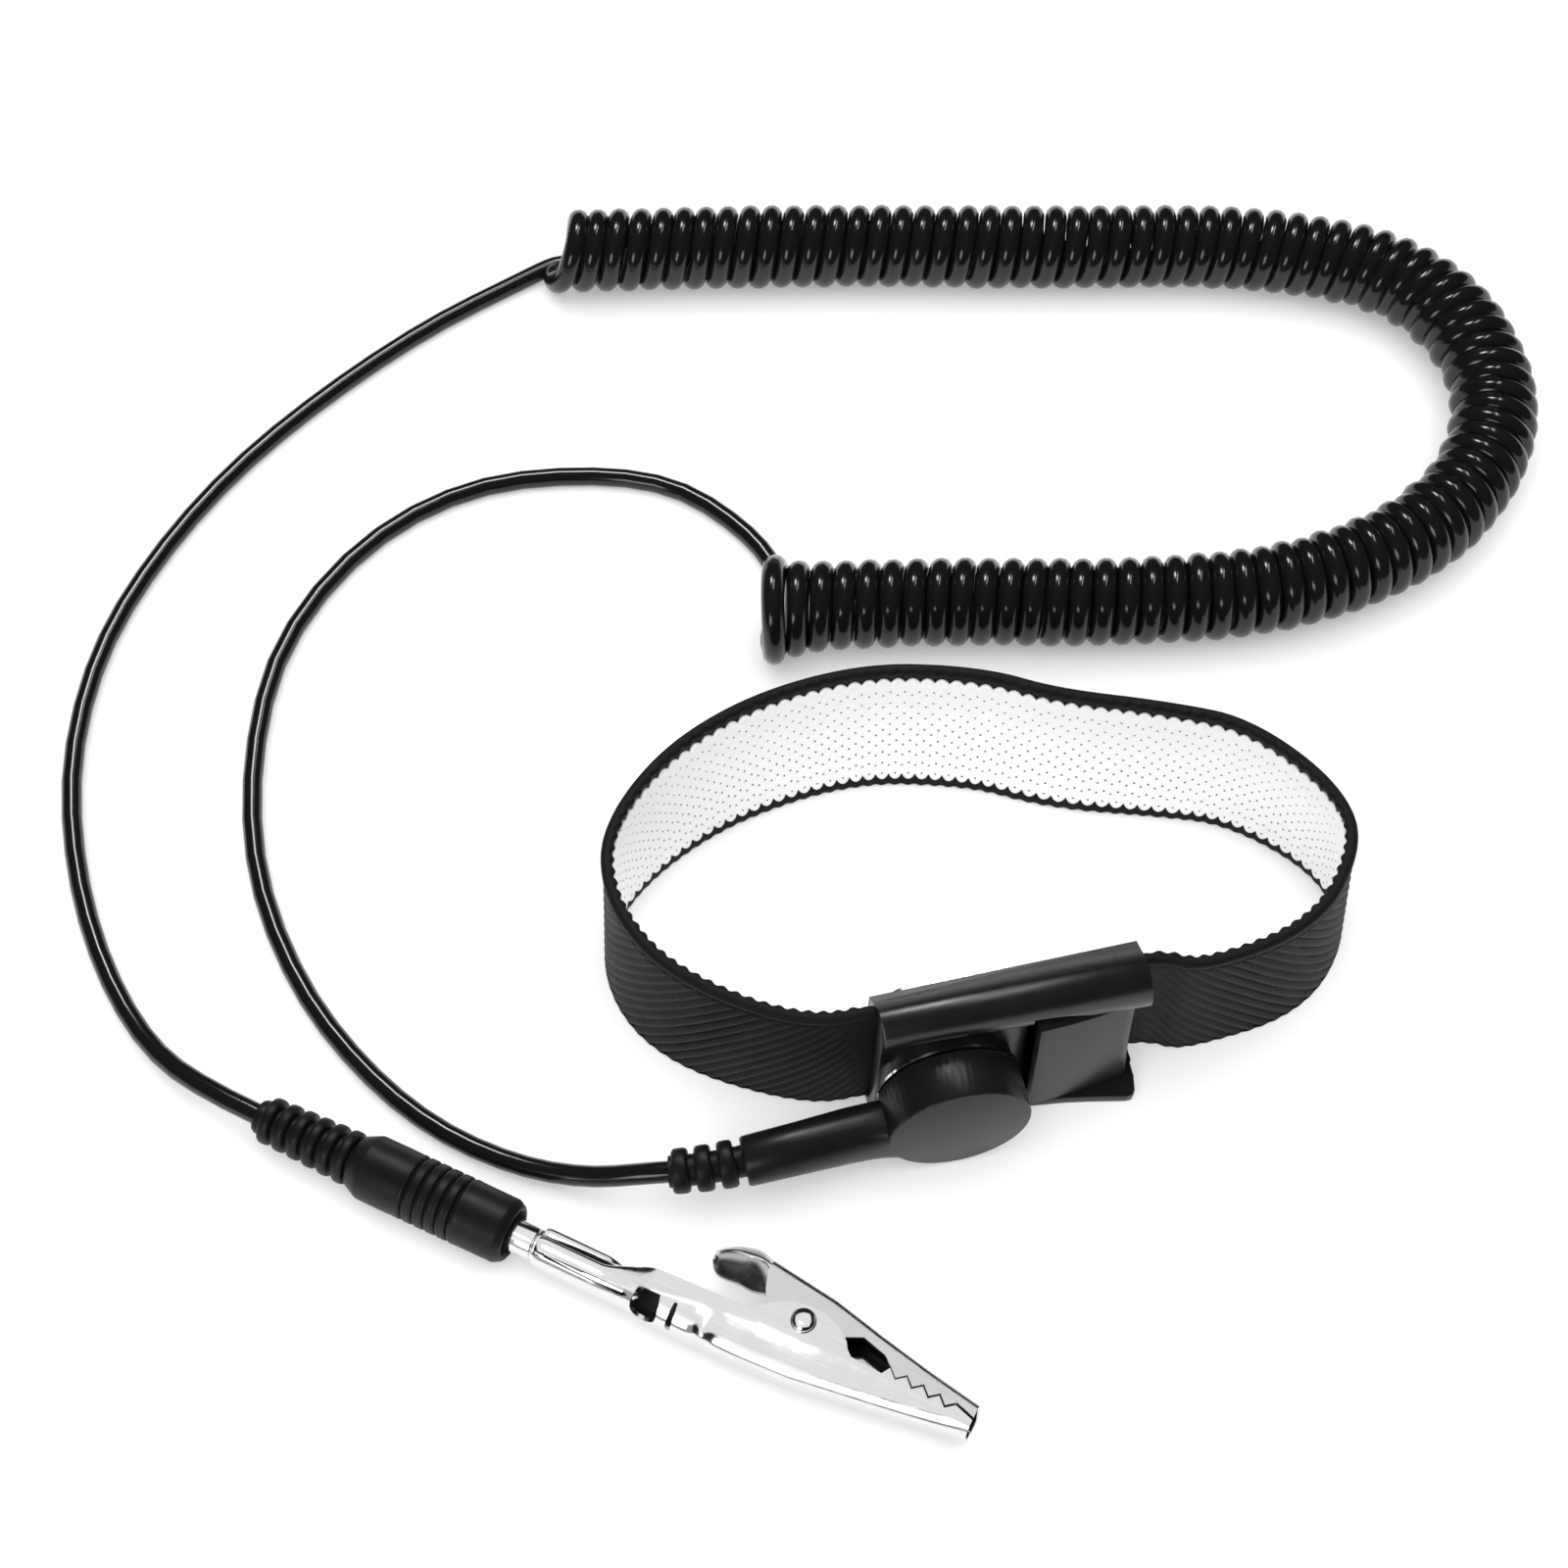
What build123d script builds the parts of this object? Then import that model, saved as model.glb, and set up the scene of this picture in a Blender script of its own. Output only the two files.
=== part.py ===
"""ESD wrist strap: elastic wristband, 10 mm snap, curly ground cord, banana plug and crocodile clip.

Row frame, millimetres: +X runs along the wristband's long side, +Y goes from the buckle to the back of
the loop, +Z is up. The strap stands and lies on z = 0, and the origin is under the middle of the
wristband. The buckle and the clip are drawn in their own planes, which sit in the row frame.
"""

from build123d import *
from math import cos, radians, sin, tan
import os

os.makedirs("parts", exist_ok=True)

# ---------------------------------------------------------------- driving dimensions
BAND_HEIGHT = 20.5
ELASTIC_THICKNESS = 0.9
LINING_THICKNESS = 0.5
BAND_WALL = ELASTIC_THICKNESS + LINING_THICKNESS

BUCKLE_ANGLE = 12.0  # about +Z, from +X
BUCKLE_ORIGIN = (2.0, -16.7, 0.0)
BUCKLE_LEFT, BUCKLE_RIGHT = -15.5, 16.0
PLATE = 1.2
LIP = 1.3
ROLL_RADIUS = 2.95
ROLL_Y, ROLL_Z = -1.1, 20.2
FRONT_OUTER, FRONT_INNER = -2.4, -0.6
CHANNEL_TOP = 21.7
LEVER_LEFT, LEVER_RIGHT = 2.6, 14.8
PIN_X, PIN_Y, PIN_RADIUS = 13.0, -2.0, 0.6
RUNNING = 0.05  # radial clearance of a running fit

SNAP_X, SNAP_Z = -7.3, 9.2
BOSS_RADIUS = 8.0
BOSS_FACE = -4.3
FLANGE_FACE = -4.6
FLANGE_RADIUS = 8.35
STUD_RADIUS = 4.75
STUD_NECK = 4.4
STUD_HEIGHT = 3.0
HEAD_RADIUS = 8.45
HEAD_BACK = -4.75
HEAD_THICKNESS = 5.35
STEM_DEPTH = -8.0
STEM_DROOP = 5.0
STEM_END = 25.0
STEM_RADIUS_NEAR, STEM_RADIUS_FAR = 3.1, 2.5
BOOT_END = 33.5
CORD_DIAMETER = 2.6
CORD_RADIUS = CORD_DIAMETER / 2

COIL_RADIUS = 5.8

CLIP_ANGLE = -26.3
CLIP_ORIGIN = (-54.0, -39.4, 3.9)
HANDLE_RADIUS = 3.9
HANDLE_BACK = -20.6
BANANA_BOOT_START = -34.0
COLLAR_RADIUS = 1.95
BANANA_PIN_RADIUS = 1.6
BARREL_INNER, BARREL_OUTER = 2.05, 2.45
BARREL_START, BARREL_END = 3.4, 15.0
SHEET = 0.55
JAW_WIDTH, TIP_WIDTH = 7.0, 4.4
JAW_TIP = 56.2
RIVET_X, RIVET_Y, RIVET_RADIUS = 34.8, 4.0, 1.0

# ---------------------------------------------------------------- frames
buckle_x = Vector(cos(radians(BUCKLE_ANGLE)), sin(radians(BUCKLE_ANGLE)), 0)
buckle_back = Vector(-sin(radians(BUCKLE_ANGLE)), cos(radians(BUCKLE_ANGLE)), 0)
up = Vector(0, 0, 1)


def buckle_point(x, y, z):
    """A point given along the buckle, towards its back and up, in the row frame."""
    return Vector(*BUCKLE_ORIGIN) + buckle_x * x + buckle_back * y + up * z


def buckle_floor(z):
    """Plane level with the floor: x along the buckle, y towards its back."""
    return Plane(origin=buckle_point(0, 0, z), x_dir=buckle_x, z_dir=up)


def buckle_end(x):
    """Plane across the buckle: x towards its back, y up, normal along the buckle."""
    return Plane(origin=buckle_point(x, 0, 0), x_dir=buckle_back, z_dir=buckle_x)


def buckle_face(y):
    """Plane along the buckle: x along it, y up, normal out of its front."""
    return Plane(origin=buckle_point(0, y, 0), x_dir=buckle_x, z_dir=-buckle_back)


stem_x = buckle_x * -cos(radians(STEM_DROOP)) - up * sin(radians(STEM_DROOP))
stem_plane = Plane(origin=buckle_point(SNAP_X, STEM_DEPTH, SNAP_Z), x_dir=stem_x, z_dir=-buckle_back)
stem_axis = Axis(stem_plane.origin, stem_plane.x_dir)

clip_plane = Plane(
    origin=CLIP_ORIGIN,
    x_dir=(cos(radians(CLIP_ANGLE)), sin(radians(CLIP_ANGLE)), 0),
    z_dir=(0, 0, 1),
)
clip_axis = Axis(clip_plane.origin, clip_plane.x_dir)
clip_side = Plane(origin=clip_plane.origin, x_dir=clip_plane.x_dir, z_dir=-clip_plane.y_dir)


def corner_radii(points):
    """The largest arc that each inner corner of a route has room for."""
    radii = []
    for before, corner, after in zip(points, points[1:], points[2:]):
        shorter = min((corner - before).length, (after - corner).length)
        turn = (corner - before).get_angle(after - corner)
        radii.append(0.45 * shorter / tan(radians(turn) / 2))
    return radii


def finish(name, piece):
    """Name a finished piece and write its STEP file."""
    piece.part.label = name
    export_step(piece.part, f"parts/{name}.step")


# ---------------------------------------------------------------- wristband: elastic and lining
# corners of the loop's outer face, from the buckle's left end round its right end and the back;
# the first and last sides lie along the buckle
loop_corners = [
    buckle_point(-23.5, 0, 0),
    buckle_point(18.5, 0, 0),
    (24.5, -14.2),
    (39.5, -8.6),
    (45.8, 3.0),
    (43.2, 11.5),
    (33.0, 19.8),
    (23.5, 21.6),
    (10.0, 23.2),
    (0.5, 26.5),
    (-15.5, 27.0),
    (-33.5, 19.3),
    (-44.8, 6.2),
    (-44.9, -5.0),
    (-37.5, -15.2),
]

with BuildSketch() as loop_face:
    with BuildLine():
        corners = [Vector(*p) for p in loop_corners]
        around = [corners[-1], *corners, corners[0]]
        FilletPolyline(*corners, radius=corner_radii(around), close=True)
    make_face()


def band_ring(outer, inner):
    """A closed wall between two outlines, with room for the buckle's lip under it."""
    with BuildPart() as ring:
        with BuildSketch():
            add(outer)
        extrude(amount=BAND_HEIGHT)
        with BuildSketch():
            add(inner)
        extrude(amount=BAND_HEIGHT, mode=Mode.SUBTRACT)
        with BuildSketch(buckle_floor(0)):
            with Locations(((BUCKLE_LEFT + BUCKLE_RIGHT) / 2, 0)):
                Rectangle(BUCKLE_RIGHT - BUCKLE_LEFT + 1.0, 8)
        extrude(amount=LIP + 0.2, mode=Mode.SUBTRACT)
    return ring


between_face = offset(loop_face.sketch, amount=-ELASTIC_THICKNESS)
inner_face = offset(loop_face.sketch, amount=-BAND_WALL)
elastic_band = band_ring(loop_face.sketch, between_face)
finish("elastic_band", elastic_band)
conductive_lining = band_ring(between_face, inner_face)
finish("conductive_lining", conductive_lining)

# ---------------------------------------------------------------- wristband: buckle
buckle_length = BUCKLE_RIGHT - BUCKLE_LEFT
BACK_INNER = BAND_WALL
BACK_OUTER = BAND_WALL + PLATE
LEDGE_FRONT = -6.3
LEDGE_INSET = 0.4
PIN_BOTTOM, PIN_LENGTH = 0.5, 18.4
STANDING = (Align.CENTER, Align.CENTER, Align.MIN)
RIVET_HOLE = STUD_NECK - 0.6

with BuildPart() as buckle_body:
    with BuildSketch(buckle_end(BUCKLE_LEFT)):
        with Locations((BACK_INNER, 0)):
            Rectangle(PLATE, CHANNEL_TOP, align=(Align.MIN, Align.MIN))
        with Locations((FRONT_OUTER, 0)):
            Rectangle(BACK_OUTER - FRONT_OUTER, LIP, align=(Align.MIN, Align.MIN))
        with Locations((ROLL_Y, ROLL_Z)):
            Circle(ROLL_RADIUS)
            Rectangle(BACK_OUTER - ROLL_Y, ROLL_RADIUS, align=(Align.MIN, Align.MIN))
        with Locations((FRONT_INNER, LIP)):
            Rectangle(
                BACK_INNER - FRONT_INNER,
                CHANNEL_TOP - LIP,
                align=(Align.MIN, Align.MIN),
                mode=Mode.SUBTRACT,
            )
    extrude(amount=buckle_length)
    with BuildSketch(buckle_face(FRONT_INNER)):
        with Locations((BUCKLE_LEFT, 0)):
            Rectangle(LEVER_LEFT - 0.5 - BUCKLE_LEFT, ROLL_Z - 1, align=(Align.MIN, Align.MIN))
    extrude(amount=FRONT_INNER - FRONT_OUTER)
    with BuildSketch(buckle_face(FRONT_OUTER)):
        with Locations((SNAP_X, SNAP_Z)):
            Circle(BOSS_RADIUS)
    extrude(amount=FRONT_OUTER - BOSS_FACE)
    with BuildSketch(buckle_floor(0)):
        with Locations((LEVER_LEFT + LEDGE_INSET, FRONT_OUTER)):
            Rectangle(
                BUCKLE_RIGHT - LEVER_LEFT - 2 * LEDGE_INSET,
                FRONT_OUTER - LEDGE_FRONT,
                align=(Align.MIN, Align.MAX),
            )
    extrude(amount=LIP)
    with Locations(buckle_floor(PIN_BOTTOM)):
        with Locations((PIN_X, PIN_Y, 0)):
            Cylinder(PIN_RADIUS, PIN_LENGTH, align=STANDING, mode=Mode.SUBTRACT)
    with BuildSketch(buckle_face(BOSS_FACE)):
        with Locations((SNAP_X, SNAP_Z)):
            Circle(RIVET_HOLE)
    extrude(amount=BOSS_FACE - FRONT_INNER, mode=Mode.SUBTRACT)
finish("buckle_body", buckle_body)

PLATE_MARGIN = 2.5
CONTACT_SHEET = 0.5

with BuildPart() as contact_plate:
    with BuildSketch(buckle_face(BACK_OUTER)):
        with Locations(((BUCKLE_LEFT + BUCKLE_RIGHT) / 2, CHANNEL_TOP / 2 + 0.2)):
            RectangleRounded(buckle_length - 2 * PLATE_MARGIN, CHANNEL_TOP - 4, 2)
    extrude(amount=-CONTACT_SHEET)
finish("contact_plate", contact_plate)

with BuildPart() as lever_pin:
    with Locations(buckle_floor(PIN_BOTTOM)):
        with Locations((PIN_X, PIN_Y, 0)):
            Cylinder(PIN_RADIUS, PIN_LENGTH, align=STANDING)
finish("lever_pin", lever_pin)

STUD_STEP = 1.3  # height of the stud's neck under its head
stem_out = Axis(stem_plane.origin, stem_plane.z_dir)

with BuildPart() as snap_stud:
    with BuildSketch(stem_plane.offset(STEM_DEPTH - BOSS_FACE)):
        Circle(FLANGE_RADIUS)
    extrude(amount=BOSS_FACE - FLANGE_FACE)
    with BuildSketch(stem_plane.offset(STEM_DEPTH - FLANGE_FACE)):
        Circle(STUD_NECK)
    extrude(amount=STUD_HEIGHT)
    with BuildSketch(stem_plane.offset(STEM_DEPTH - FLANGE_FACE + STUD_STEP)):
        Circle(STUD_RADIUS)
    extrude(amount=STUD_HEIGHT - STUD_STEP)
    stud_rim = snap_stud.edges().filter_by(GeomType.CIRCLE).group_by(stem_out)[-1]
    chamfer(stud_rim, 0.5)
    with BuildSketch(stem_plane.offset(STEM_DEPTH - BOSS_FACE)):
        Circle(1.5)
    extrude(amount=1.8, mode=Mode.SUBTRACT)
finish("snap_stud", snap_stud)

with BuildPart() as stud_rivet:
    with BuildSketch(buckle_face(FRONT_INNER)):
        with Locations((SNAP_X, SNAP_Z)):
            Circle(RIVET_HOLE)
    extrude(amount=FRONT_INNER - BOSS_FACE)
finish("stud_rivet", stud_rivet)

# ---------------------------------------------------------------- clamp lever
LEVER_TOP, LEVER_BOTTOM = 17.0, 1.6
LEVER_PROUD = -5.4  # outer face at its free edge
LEVER_FLUSH = -3.6  # outer face over the pin
LEVER_PLATE = 1.5

with BuildPart() as cam_lever:
    with BuildSketch(buckle_floor(LEVER_BOTTOM)):
        with BuildLine():
            Polyline(
                (LEVER_LEFT, LEVER_PROUD),
                (LEVER_RIGHT, LEVER_FLUSH),
                (LEVER_RIGHT, PIN_Y),
                (PIN_X, PIN_Y),
                (LEVER_LEFT, LEVER_PROUD + LEVER_PLATE),
                close=True,
            )
        make_face()
        with Locations((PIN_X, PIN_Y)):
            Circle(1.4)
        with Locations((PIN_X - 0.5, PIN_Y + 0.25)):
            Circle(1.6)
        with Locations((PIN_X, PIN_Y)):
            Circle(PIN_RADIUS + RUNNING, mode=Mode.SUBTRACT)
    extrude(amount=LEVER_TOP - LEVER_BOTTOM)
finish("cam_lever", cam_lever)

# ---------------------------------------------------------------- snap head on the cord
SOCKET_RADIUS, SOCKET_BORE = 6.2, 5.05
SOCKET_DEPTH = 3.3
RESISTOR_START, RESISTOR_LENGTH, RESISTOR_RADIUS = 11.5, 6.3, 1.15
WIRE_RADIUS = 0.3
WIRE_END = 22.0
head_back_plane = stem_plane.offset(STEM_DEPTH - HEAD_BACK)

with BuildPart() as snap_head:
    with BuildSketch(head_back_plane):
        Circle(HEAD_RADIUS)
    extrude(amount=HEAD_THICKNESS)
    fillet(snap_head.edges().group_by(stem_out)[-1], 0.4)
    with BuildSketch(stem_plane):
        with BuildLine():
            Polyline(
                (4, 0),
                (STEM_END, 0),
                (STEM_END, STEM_RADIUS_FAR),
                (8, STEM_RADIUS_NEAR),
                (4, STEM_RADIUS_NEAR),
                close=True,
            )
        make_face()
    revolve(axis=stem_axis)
    with BuildSketch(head_back_plane):
        Circle(SOCKET_RADIUS)
    extrude(amount=SOCKET_DEPTH + 0.4, mode=Mode.SUBTRACT)
    with BuildSketch(stem_plane):
        with BuildLine():
            Polyline(
                (SOCKET_RADIUS - 0.4, 0),
                (WIRE_END, 0),
                (WIRE_END, WIRE_RADIUS),
                (RESISTOR_START + RESISTOR_LENGTH, WIRE_RADIUS),
                (RESISTOR_START + RESISTOR_LENGTH, RESISTOR_RADIUS),
                (RESISTOR_START, RESISTOR_RADIUS),
                (RESISTOR_START, WIRE_RADIUS),
                (SOCKET_RADIUS - 0.4, WIRE_RADIUS),
                close=True,
            )
        make_face()
    revolve(axis=stem_axis, mode=Mode.SUBTRACT)
finish("snap_head", snap_head)

with BuildPart() as snap_socket:
    with BuildSketch(head_back_plane):
        Circle(SOCKET_RADIUS)
    extrude(amount=SOCKET_DEPTH + 0.4)
    with BuildSketch(head_back_plane):
        Circle(SOCKET_BORE)
    extrude(amount=SOCKET_DEPTH, mode=Mode.SUBTRACT)
    with BuildSketch(head_back_plane.offset(0.2)):
        Circle(SOCKET_BORE + 0.3)
    extrude(amount=0.8, mode=Mode.SUBTRACT)
finish("snap_socket", snap_socket)

with BuildPart() as snap_ring_spring:
    with Locations(head_back_plane.offset(0.6)):
        Torus(STUD_NECK + 0.5, WIRE_RADIUS)
finish("snap_ring_spring", snap_ring_spring)

with BuildPart() as resistor:
    with BuildSketch(stem_plane):
        with Locations((RESISTOR_START, 0)):
            Rectangle(RESISTOR_LENGTH, RESISTOR_RADIUS, align=(Align.MIN, Align.MIN))
    revolve(axis=stem_axis)
finish("resistor", resistor)

with BuildPart() as resistor_leads:
    with BuildSketch(stem_plane):
        with Locations((SOCKET_RADIUS, 0)):
            Rectangle(RESISTOR_START - SOCKET_RADIUS, WIRE_RADIUS, align=(Align.MIN, Align.MIN))
        with Locations((RESISTOR_START + RESISTOR_LENGTH, 0)):
            Rectangle(WIRE_END - RESISTOR_START - RESISTOR_LENGTH, WIRE_RADIUS, align=(Align.MIN, Align.MIN))
    revolve(axis=stem_axis)
finish("resistor_leads", resistor_leads)


def ringed_boot(plane, start, end, rings, root_radius, tip_radius):
    """A strain relief from start to end along a plane's x axis: rings on a thin core."""
    with BuildPart() as boot:
        with BuildSketch(plane):
            with Locations((start, 0)):
                Rectangle(end - start, CORD_RADIUS + 0.4, align=(Align.MIN, Align.MIN))
            pitch = (end - start) / rings
            for i in range(rings):
                radius = root_radius + (tip_radius - root_radius) * i / (rings - 1)
                with Locations((start + pitch * (i + 1), 0)):
                    Rectangle(pitch * 0.7, radius, align=(Align.MAX, Align.MIN))
        revolve(axis=Axis(plane.origin, plane.x_dir))
    return boot


wrist_boot = ringed_boot(stem_plane, STEM_END, BOOT_END, 3, 2.5, 2.35)
finish("wrist_boot", wrist_boot)

# ---------------------------------------------------------------- cord: two leads and the coil
FLOOR_CORD = CORD_RADIUS
boot_exit = stem_plane.from_local_coords((BOOT_END, 0, 0))
wrist_route = [
    boot_exit,
    boot_exit + stem_x * 8.5,
    (-56.0, -30.8, 2.2),
    (-64.5, -24.8, FLOOR_CORD),
    (-73.5, -17.0, FLOOR_CORD),
    (-82.0, -6.0, FLOOR_CORD),
    (-88.8, 9.5, FLOOR_CORD),
    (-91.0, 26.5, FLOOR_CORD),
    (-89.2, 45.0, FLOOR_CORD),
    (-79.5, 61.5, FLOOR_CORD),
    (-66.0, 71.0, FLOOR_CORD),
    (-51.0, 73.2, FLOOR_CORD),
    (-38.0, 71.5, FLOOR_CORD),
    (-28.5, 63.8, FLOOR_CORD),
    (-23.2, 54.5, FLOOR_CORD),
]
coil_route = [
    (-56.0, 109.2, COIL_RADIUS),
    (-22.0, 110.5, COIL_RADIUS),
    (14.0, 109.9, COIL_RADIUS),
    (43.0, 110.5, COIL_RADIUS),
    (67.0, 104.2, COIL_RADIUS),
    (75.5, 82.5, COIL_RADIUS),
    (66.0, 62.0, COIL_RADIUS),
    (45.0, 50.5, COIL_RADIUS),
    (20.0, 48.0, COIL_RADIUS),
    (-5.0, 48.6, COIL_RADIUS),
    (-27.0, 47.1, COIL_RADIUS),
]
banana_exit = clip_plane.from_local_coords((BANANA_BOOT_START, 0, 0))
clip_route = [
    (-52.5, 112.0, FLOOR_CORD),
    (-59.4, 108.4, FLOOR_CORD),
    (-73.0, 99.5, FLOOR_CORD),
    (-86.5, 87.0, FLOOR_CORD),
    (-98.2, 73.5, FLOOR_CORD),
    (-107.0, 58.5, FLOOR_CORD),
    (-112.6, 43.5, FLOOR_CORD),
    (-114.0, 26.5, FLOOR_CORD),
    (-111.2, 10.5, FLOOR_CORD),
    (-106.0, -3.5, FLOOR_CORD),
    (-99.0, -14.5, 1.6),
    banana_exit - clip_plane.x_dir * 7.5,
    banana_exit,
]


def cord_tube(name, route, radius):
    """A round tube along straight runs joined by the largest arcs the runs allow."""
    points = [Vector(*p) for p in route]
    with BuildPart() as tube:
        with BuildLine():
            path = FilletPolyline(*points, radius=corner_radii(points))
        with BuildSketch(Plane(origin=path @ 0, z_dir=path % 0)):
            Circle(radius)
        sweep()
    finish(name, tube)
    return tube


cord_wrist_lead = cord_tube("cord_wrist_lead", wrist_route, CORD_RADIUS)
cord_coil = cord_tube("cord_coil", coil_route, COIL_RADIUS)
cord_clip_lead = cord_tube("cord_clip_lead", clip_route, CORD_RADIUS)

# ---------------------------------------------------------------- banana plug
banana_boot = ringed_boot(clip_plane, BANANA_BOOT_START, HANDLE_BACK, 6, 2.6, 3.2)
finish("banana_boot", banana_boot)

CORE_START = -15.0
GROOVES, GROOVE_PITCH, GROOVE_FIRST = 5, 1.5, -12.9

with BuildPart() as banana_handle:
    with BuildSketch(clip_plane):
        with Locations((HANDLE_BACK, 0)):
            Rectangle(-HANDLE_BACK, HANDLE_RADIUS, align=(Align.MIN, Align.MIN))
        for i in range(GROOVES):
            with Locations((GROOVE_FIRST + GROOVE_PITCH * i, HANDLE_RADIUS)):
                Rectangle(0.6, 0.5, align=(Align.CENTER, Align.MAX), mode=Mode.SUBTRACT)
        with Locations((CORE_START, 0)):
            Rectangle(-CORE_START, COLLAR_RADIUS, align=(Align.MIN, Align.MIN), mode=Mode.SUBTRACT)
    revolve(axis=clip_axis)
    front_edges = banana_handle.edges().group_by(clip_axis)[-1]
    chamfer(front_edges.sort_by(SortBy.RADIUS)[-1], 0.6)
finish("banana_handle", banana_handle)

PIN_TIP = 16.5
SPRING_FIRST, SPRING_LAST = 4.6, 15.4

with BuildPart() as banana_pin:
    with BuildSketch(clip_plane):
        with BuildLine():
            Polyline(
                (CORE_START, 0),
                (CORE_START, COLLAR_RADIUS),
                (BARREL_START - 0.1, COLLAR_RADIUS),
                (BARREL_START - 0.1, BANANA_PIN_RADIUS),
                (PIN_TIP - 0.8, BANANA_PIN_RADIUS),
                (PIN_TIP, BANANA_PIN_RADIUS - 0.7),
                (PIN_TIP, 0),
                close=True,
            )
        make_face()
    revolve(axis=clip_axis)
finish("banana_pin", banana_pin)

with BuildPart() as banana_spring:
    with BuildSketch(clip_plane):
        with BuildLine():
            ThreePointArc(
                (SPRING_FIRST, BANANA_PIN_RADIUS + 0.15),
                ((SPRING_FIRST + SPRING_LAST) / 2, BARREL_INNER - RUNNING),
                (SPRING_LAST, BANANA_PIN_RADIUS + 0.15),
            )
            Polyline(
                (SPRING_LAST, BANANA_PIN_RADIUS + 0.15),
                (SPRING_LAST, BANANA_PIN_RADIUS),
                (SPRING_FIRST, BANANA_PIN_RADIUS),
                (SPRING_FIRST, BANANA_PIN_RADIUS + 0.15),
            )
        make_face()
    revolve(axis=clip_axis)
finish("banana_spring", banana_spring)

# ---------------------------------------------------------------- crocodile clip
TOOTH_FIRST, TOOTH_PITCH, TEETH = 46.2, 2.0, 5
TOOTH_HEIGHT = 0.9
BITE = 0.08  # gap between the closed jaws
CHANNEL_START = 15.5


def tooth_line(lift):
    """The zigzag edge where the jaws meet, from the throat to the tip."""
    points = []
    for i in range(TEETH):
        x = TOOTH_FIRST + TOOTH_PITCH * i
        y = 3.0 - 0.045 * (x - TOOTH_FIRST) + lift
        points.append((x, y + TOOTH_HEIGHT / 2))
        points.append((x + TOOTH_PITCH / 2, y - TOOTH_HEIGHT / 2))
    return points


def tapered_bar(profile, base_width, tip_width):
    """A side profile across the clip, cut to a width that narrows towards the tip."""
    with BuildPart(mode=Mode.PRIVATE) as bar:
        with BuildSketch(clip_plane):
            with BuildLine():
                Polyline(*profile, close=True)
            make_face()
        extrude(amount=JAW_WIDTH, both=True)
        with BuildSketch(clip_side):
            with BuildLine():
                Polyline(
                    (CHANNEL_START - 15, -base_width / 2),
                    (38, -base_width / 2),
                    (JAW_TIP + 1, -tip_width / 2),
                    (JAW_TIP + 1, tip_width / 2),
                    (38, base_width / 2),
                    (CHANNEL_START - 15, base_width / 2),
                    close=True,
                )
            make_face()
        extrude(amount=20, both=True, mode=Mode.INTERSECT)
    return bar.part


hump = [
    (40.2, 3.9),
    (38.8, 5.0),
    (36.8, 5.7),
    (34.5, 5.9),
    (32.2, 5.4),
    (30.2, 4.2),
    (28.6, 2.9),
]
web_line = [(CHANNEL_START, -2.4), (36.0, -1.6), (JAW_TIP, 1.0)]
lower_outer = [
    *web_line,
    *reversed(tooth_line(0)),
    (45.2, 2.5),
    (41.3, 2.6),
    *hump,
    (CHANNEL_START, 2.4),
]
lower_inner = [
    (CHANNEL_START - 1, -2.4 + SHEET),
    (36.0, -1.6 + SHEET),
    (JAW_TIP + 1, 1.0 + SHEET),
    (JAW_TIP + 1, 9),
    (CHANNEL_START - 1, 9),
]

with BuildPart() as clip_lower_jaw:
    add(tapered_bar(lower_outer, JAW_WIDTH, TIP_WIDTH))
    add(tapered_bar(lower_inner, JAW_WIDTH - 2 * SHEET, TIP_WIDTH - 2 * SHEET), mode=Mode.SUBTRACT)
    with BuildSketch(clip_plane):
        with Locations((BARREL_START, BARREL_INNER)):
            Rectangle(BARREL_END - BARREL_START, BARREL_OUTER - BARREL_INNER, align=(Align.MIN, Align.MIN))
    revolve(axis=clip_axis)
    with BuildSketch(clip_side.offset(2.4 - SHEET)):
        with BuildLine():
            Polyline(
                (BARREL_END - 1.5, -1.6),
                (CHANNEL_START + 1, -JAW_WIDTH / 2),
                (CHANNEL_START + 1, JAW_WIDTH / 2),
                (BARREL_END - 1.5, 1.6),
                close=True,
            )
        make_face()
    extrude(amount=SHEET)
    with BuildSketch(clip_side):
        with Locations((19.0, 0)):
            SlotOverall(4.4, 2.6)
    extrude(amount=5, mode=Mode.SUBTRACT)
    with BuildSketch(clip_plane):
        with Locations((RIVET_X, RIVET_Y)):
            Circle(RIVET_RADIUS)
    extrude(amount=JAW_WIDTH, both=True, mode=Mode.SUBTRACT)
finish("clip_lower_jaw", clip_lower_jaw)

UPPER_WIDTH = JAW_WIDTH - 2 * SHEET - 0.2
back_line = [(JAW_TIP, 3.9), (50.0, 4.9), (43.5, 6.2), (36.8, 7.7), (28.5, 8.8)]
upper_outer = [
    *back_line,
    (29.5, 5.6),
    (32.0, 2.4),
    (36.8, 1.9),
    (39.8, 4.4),
    (41.6, 5.3),
    (44.4, 4.4),
    *tooth_line(BITE),
]
upper_inner = [
    (JAW_TIP + 1, 3.9 - SHEET),
    (50.0, 4.9 - SHEET),
    (43.5, 6.2 - SHEET),
    (36.8, 7.7 - SHEET),
    (27.5, 8.9 - SHEET),
    (27.5, 0),
    (JAW_TIP + 1, 0),
]
TAB_LENGTH, TAB_WIDTH = 7.5, 7.0
tab_plane = Plane(
    origin=clip_plane.from_local_coords((29.3, 8.7 - SHEET, 0)),
    x_dir=clip_plane.x_dir * -cos(radians(18)) + clip_plane.y_dir * sin(radians(18)),
    z_dir=clip_plane.x_dir * sin(radians(18)) + clip_plane.y_dir * cos(radians(18)),
)

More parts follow.
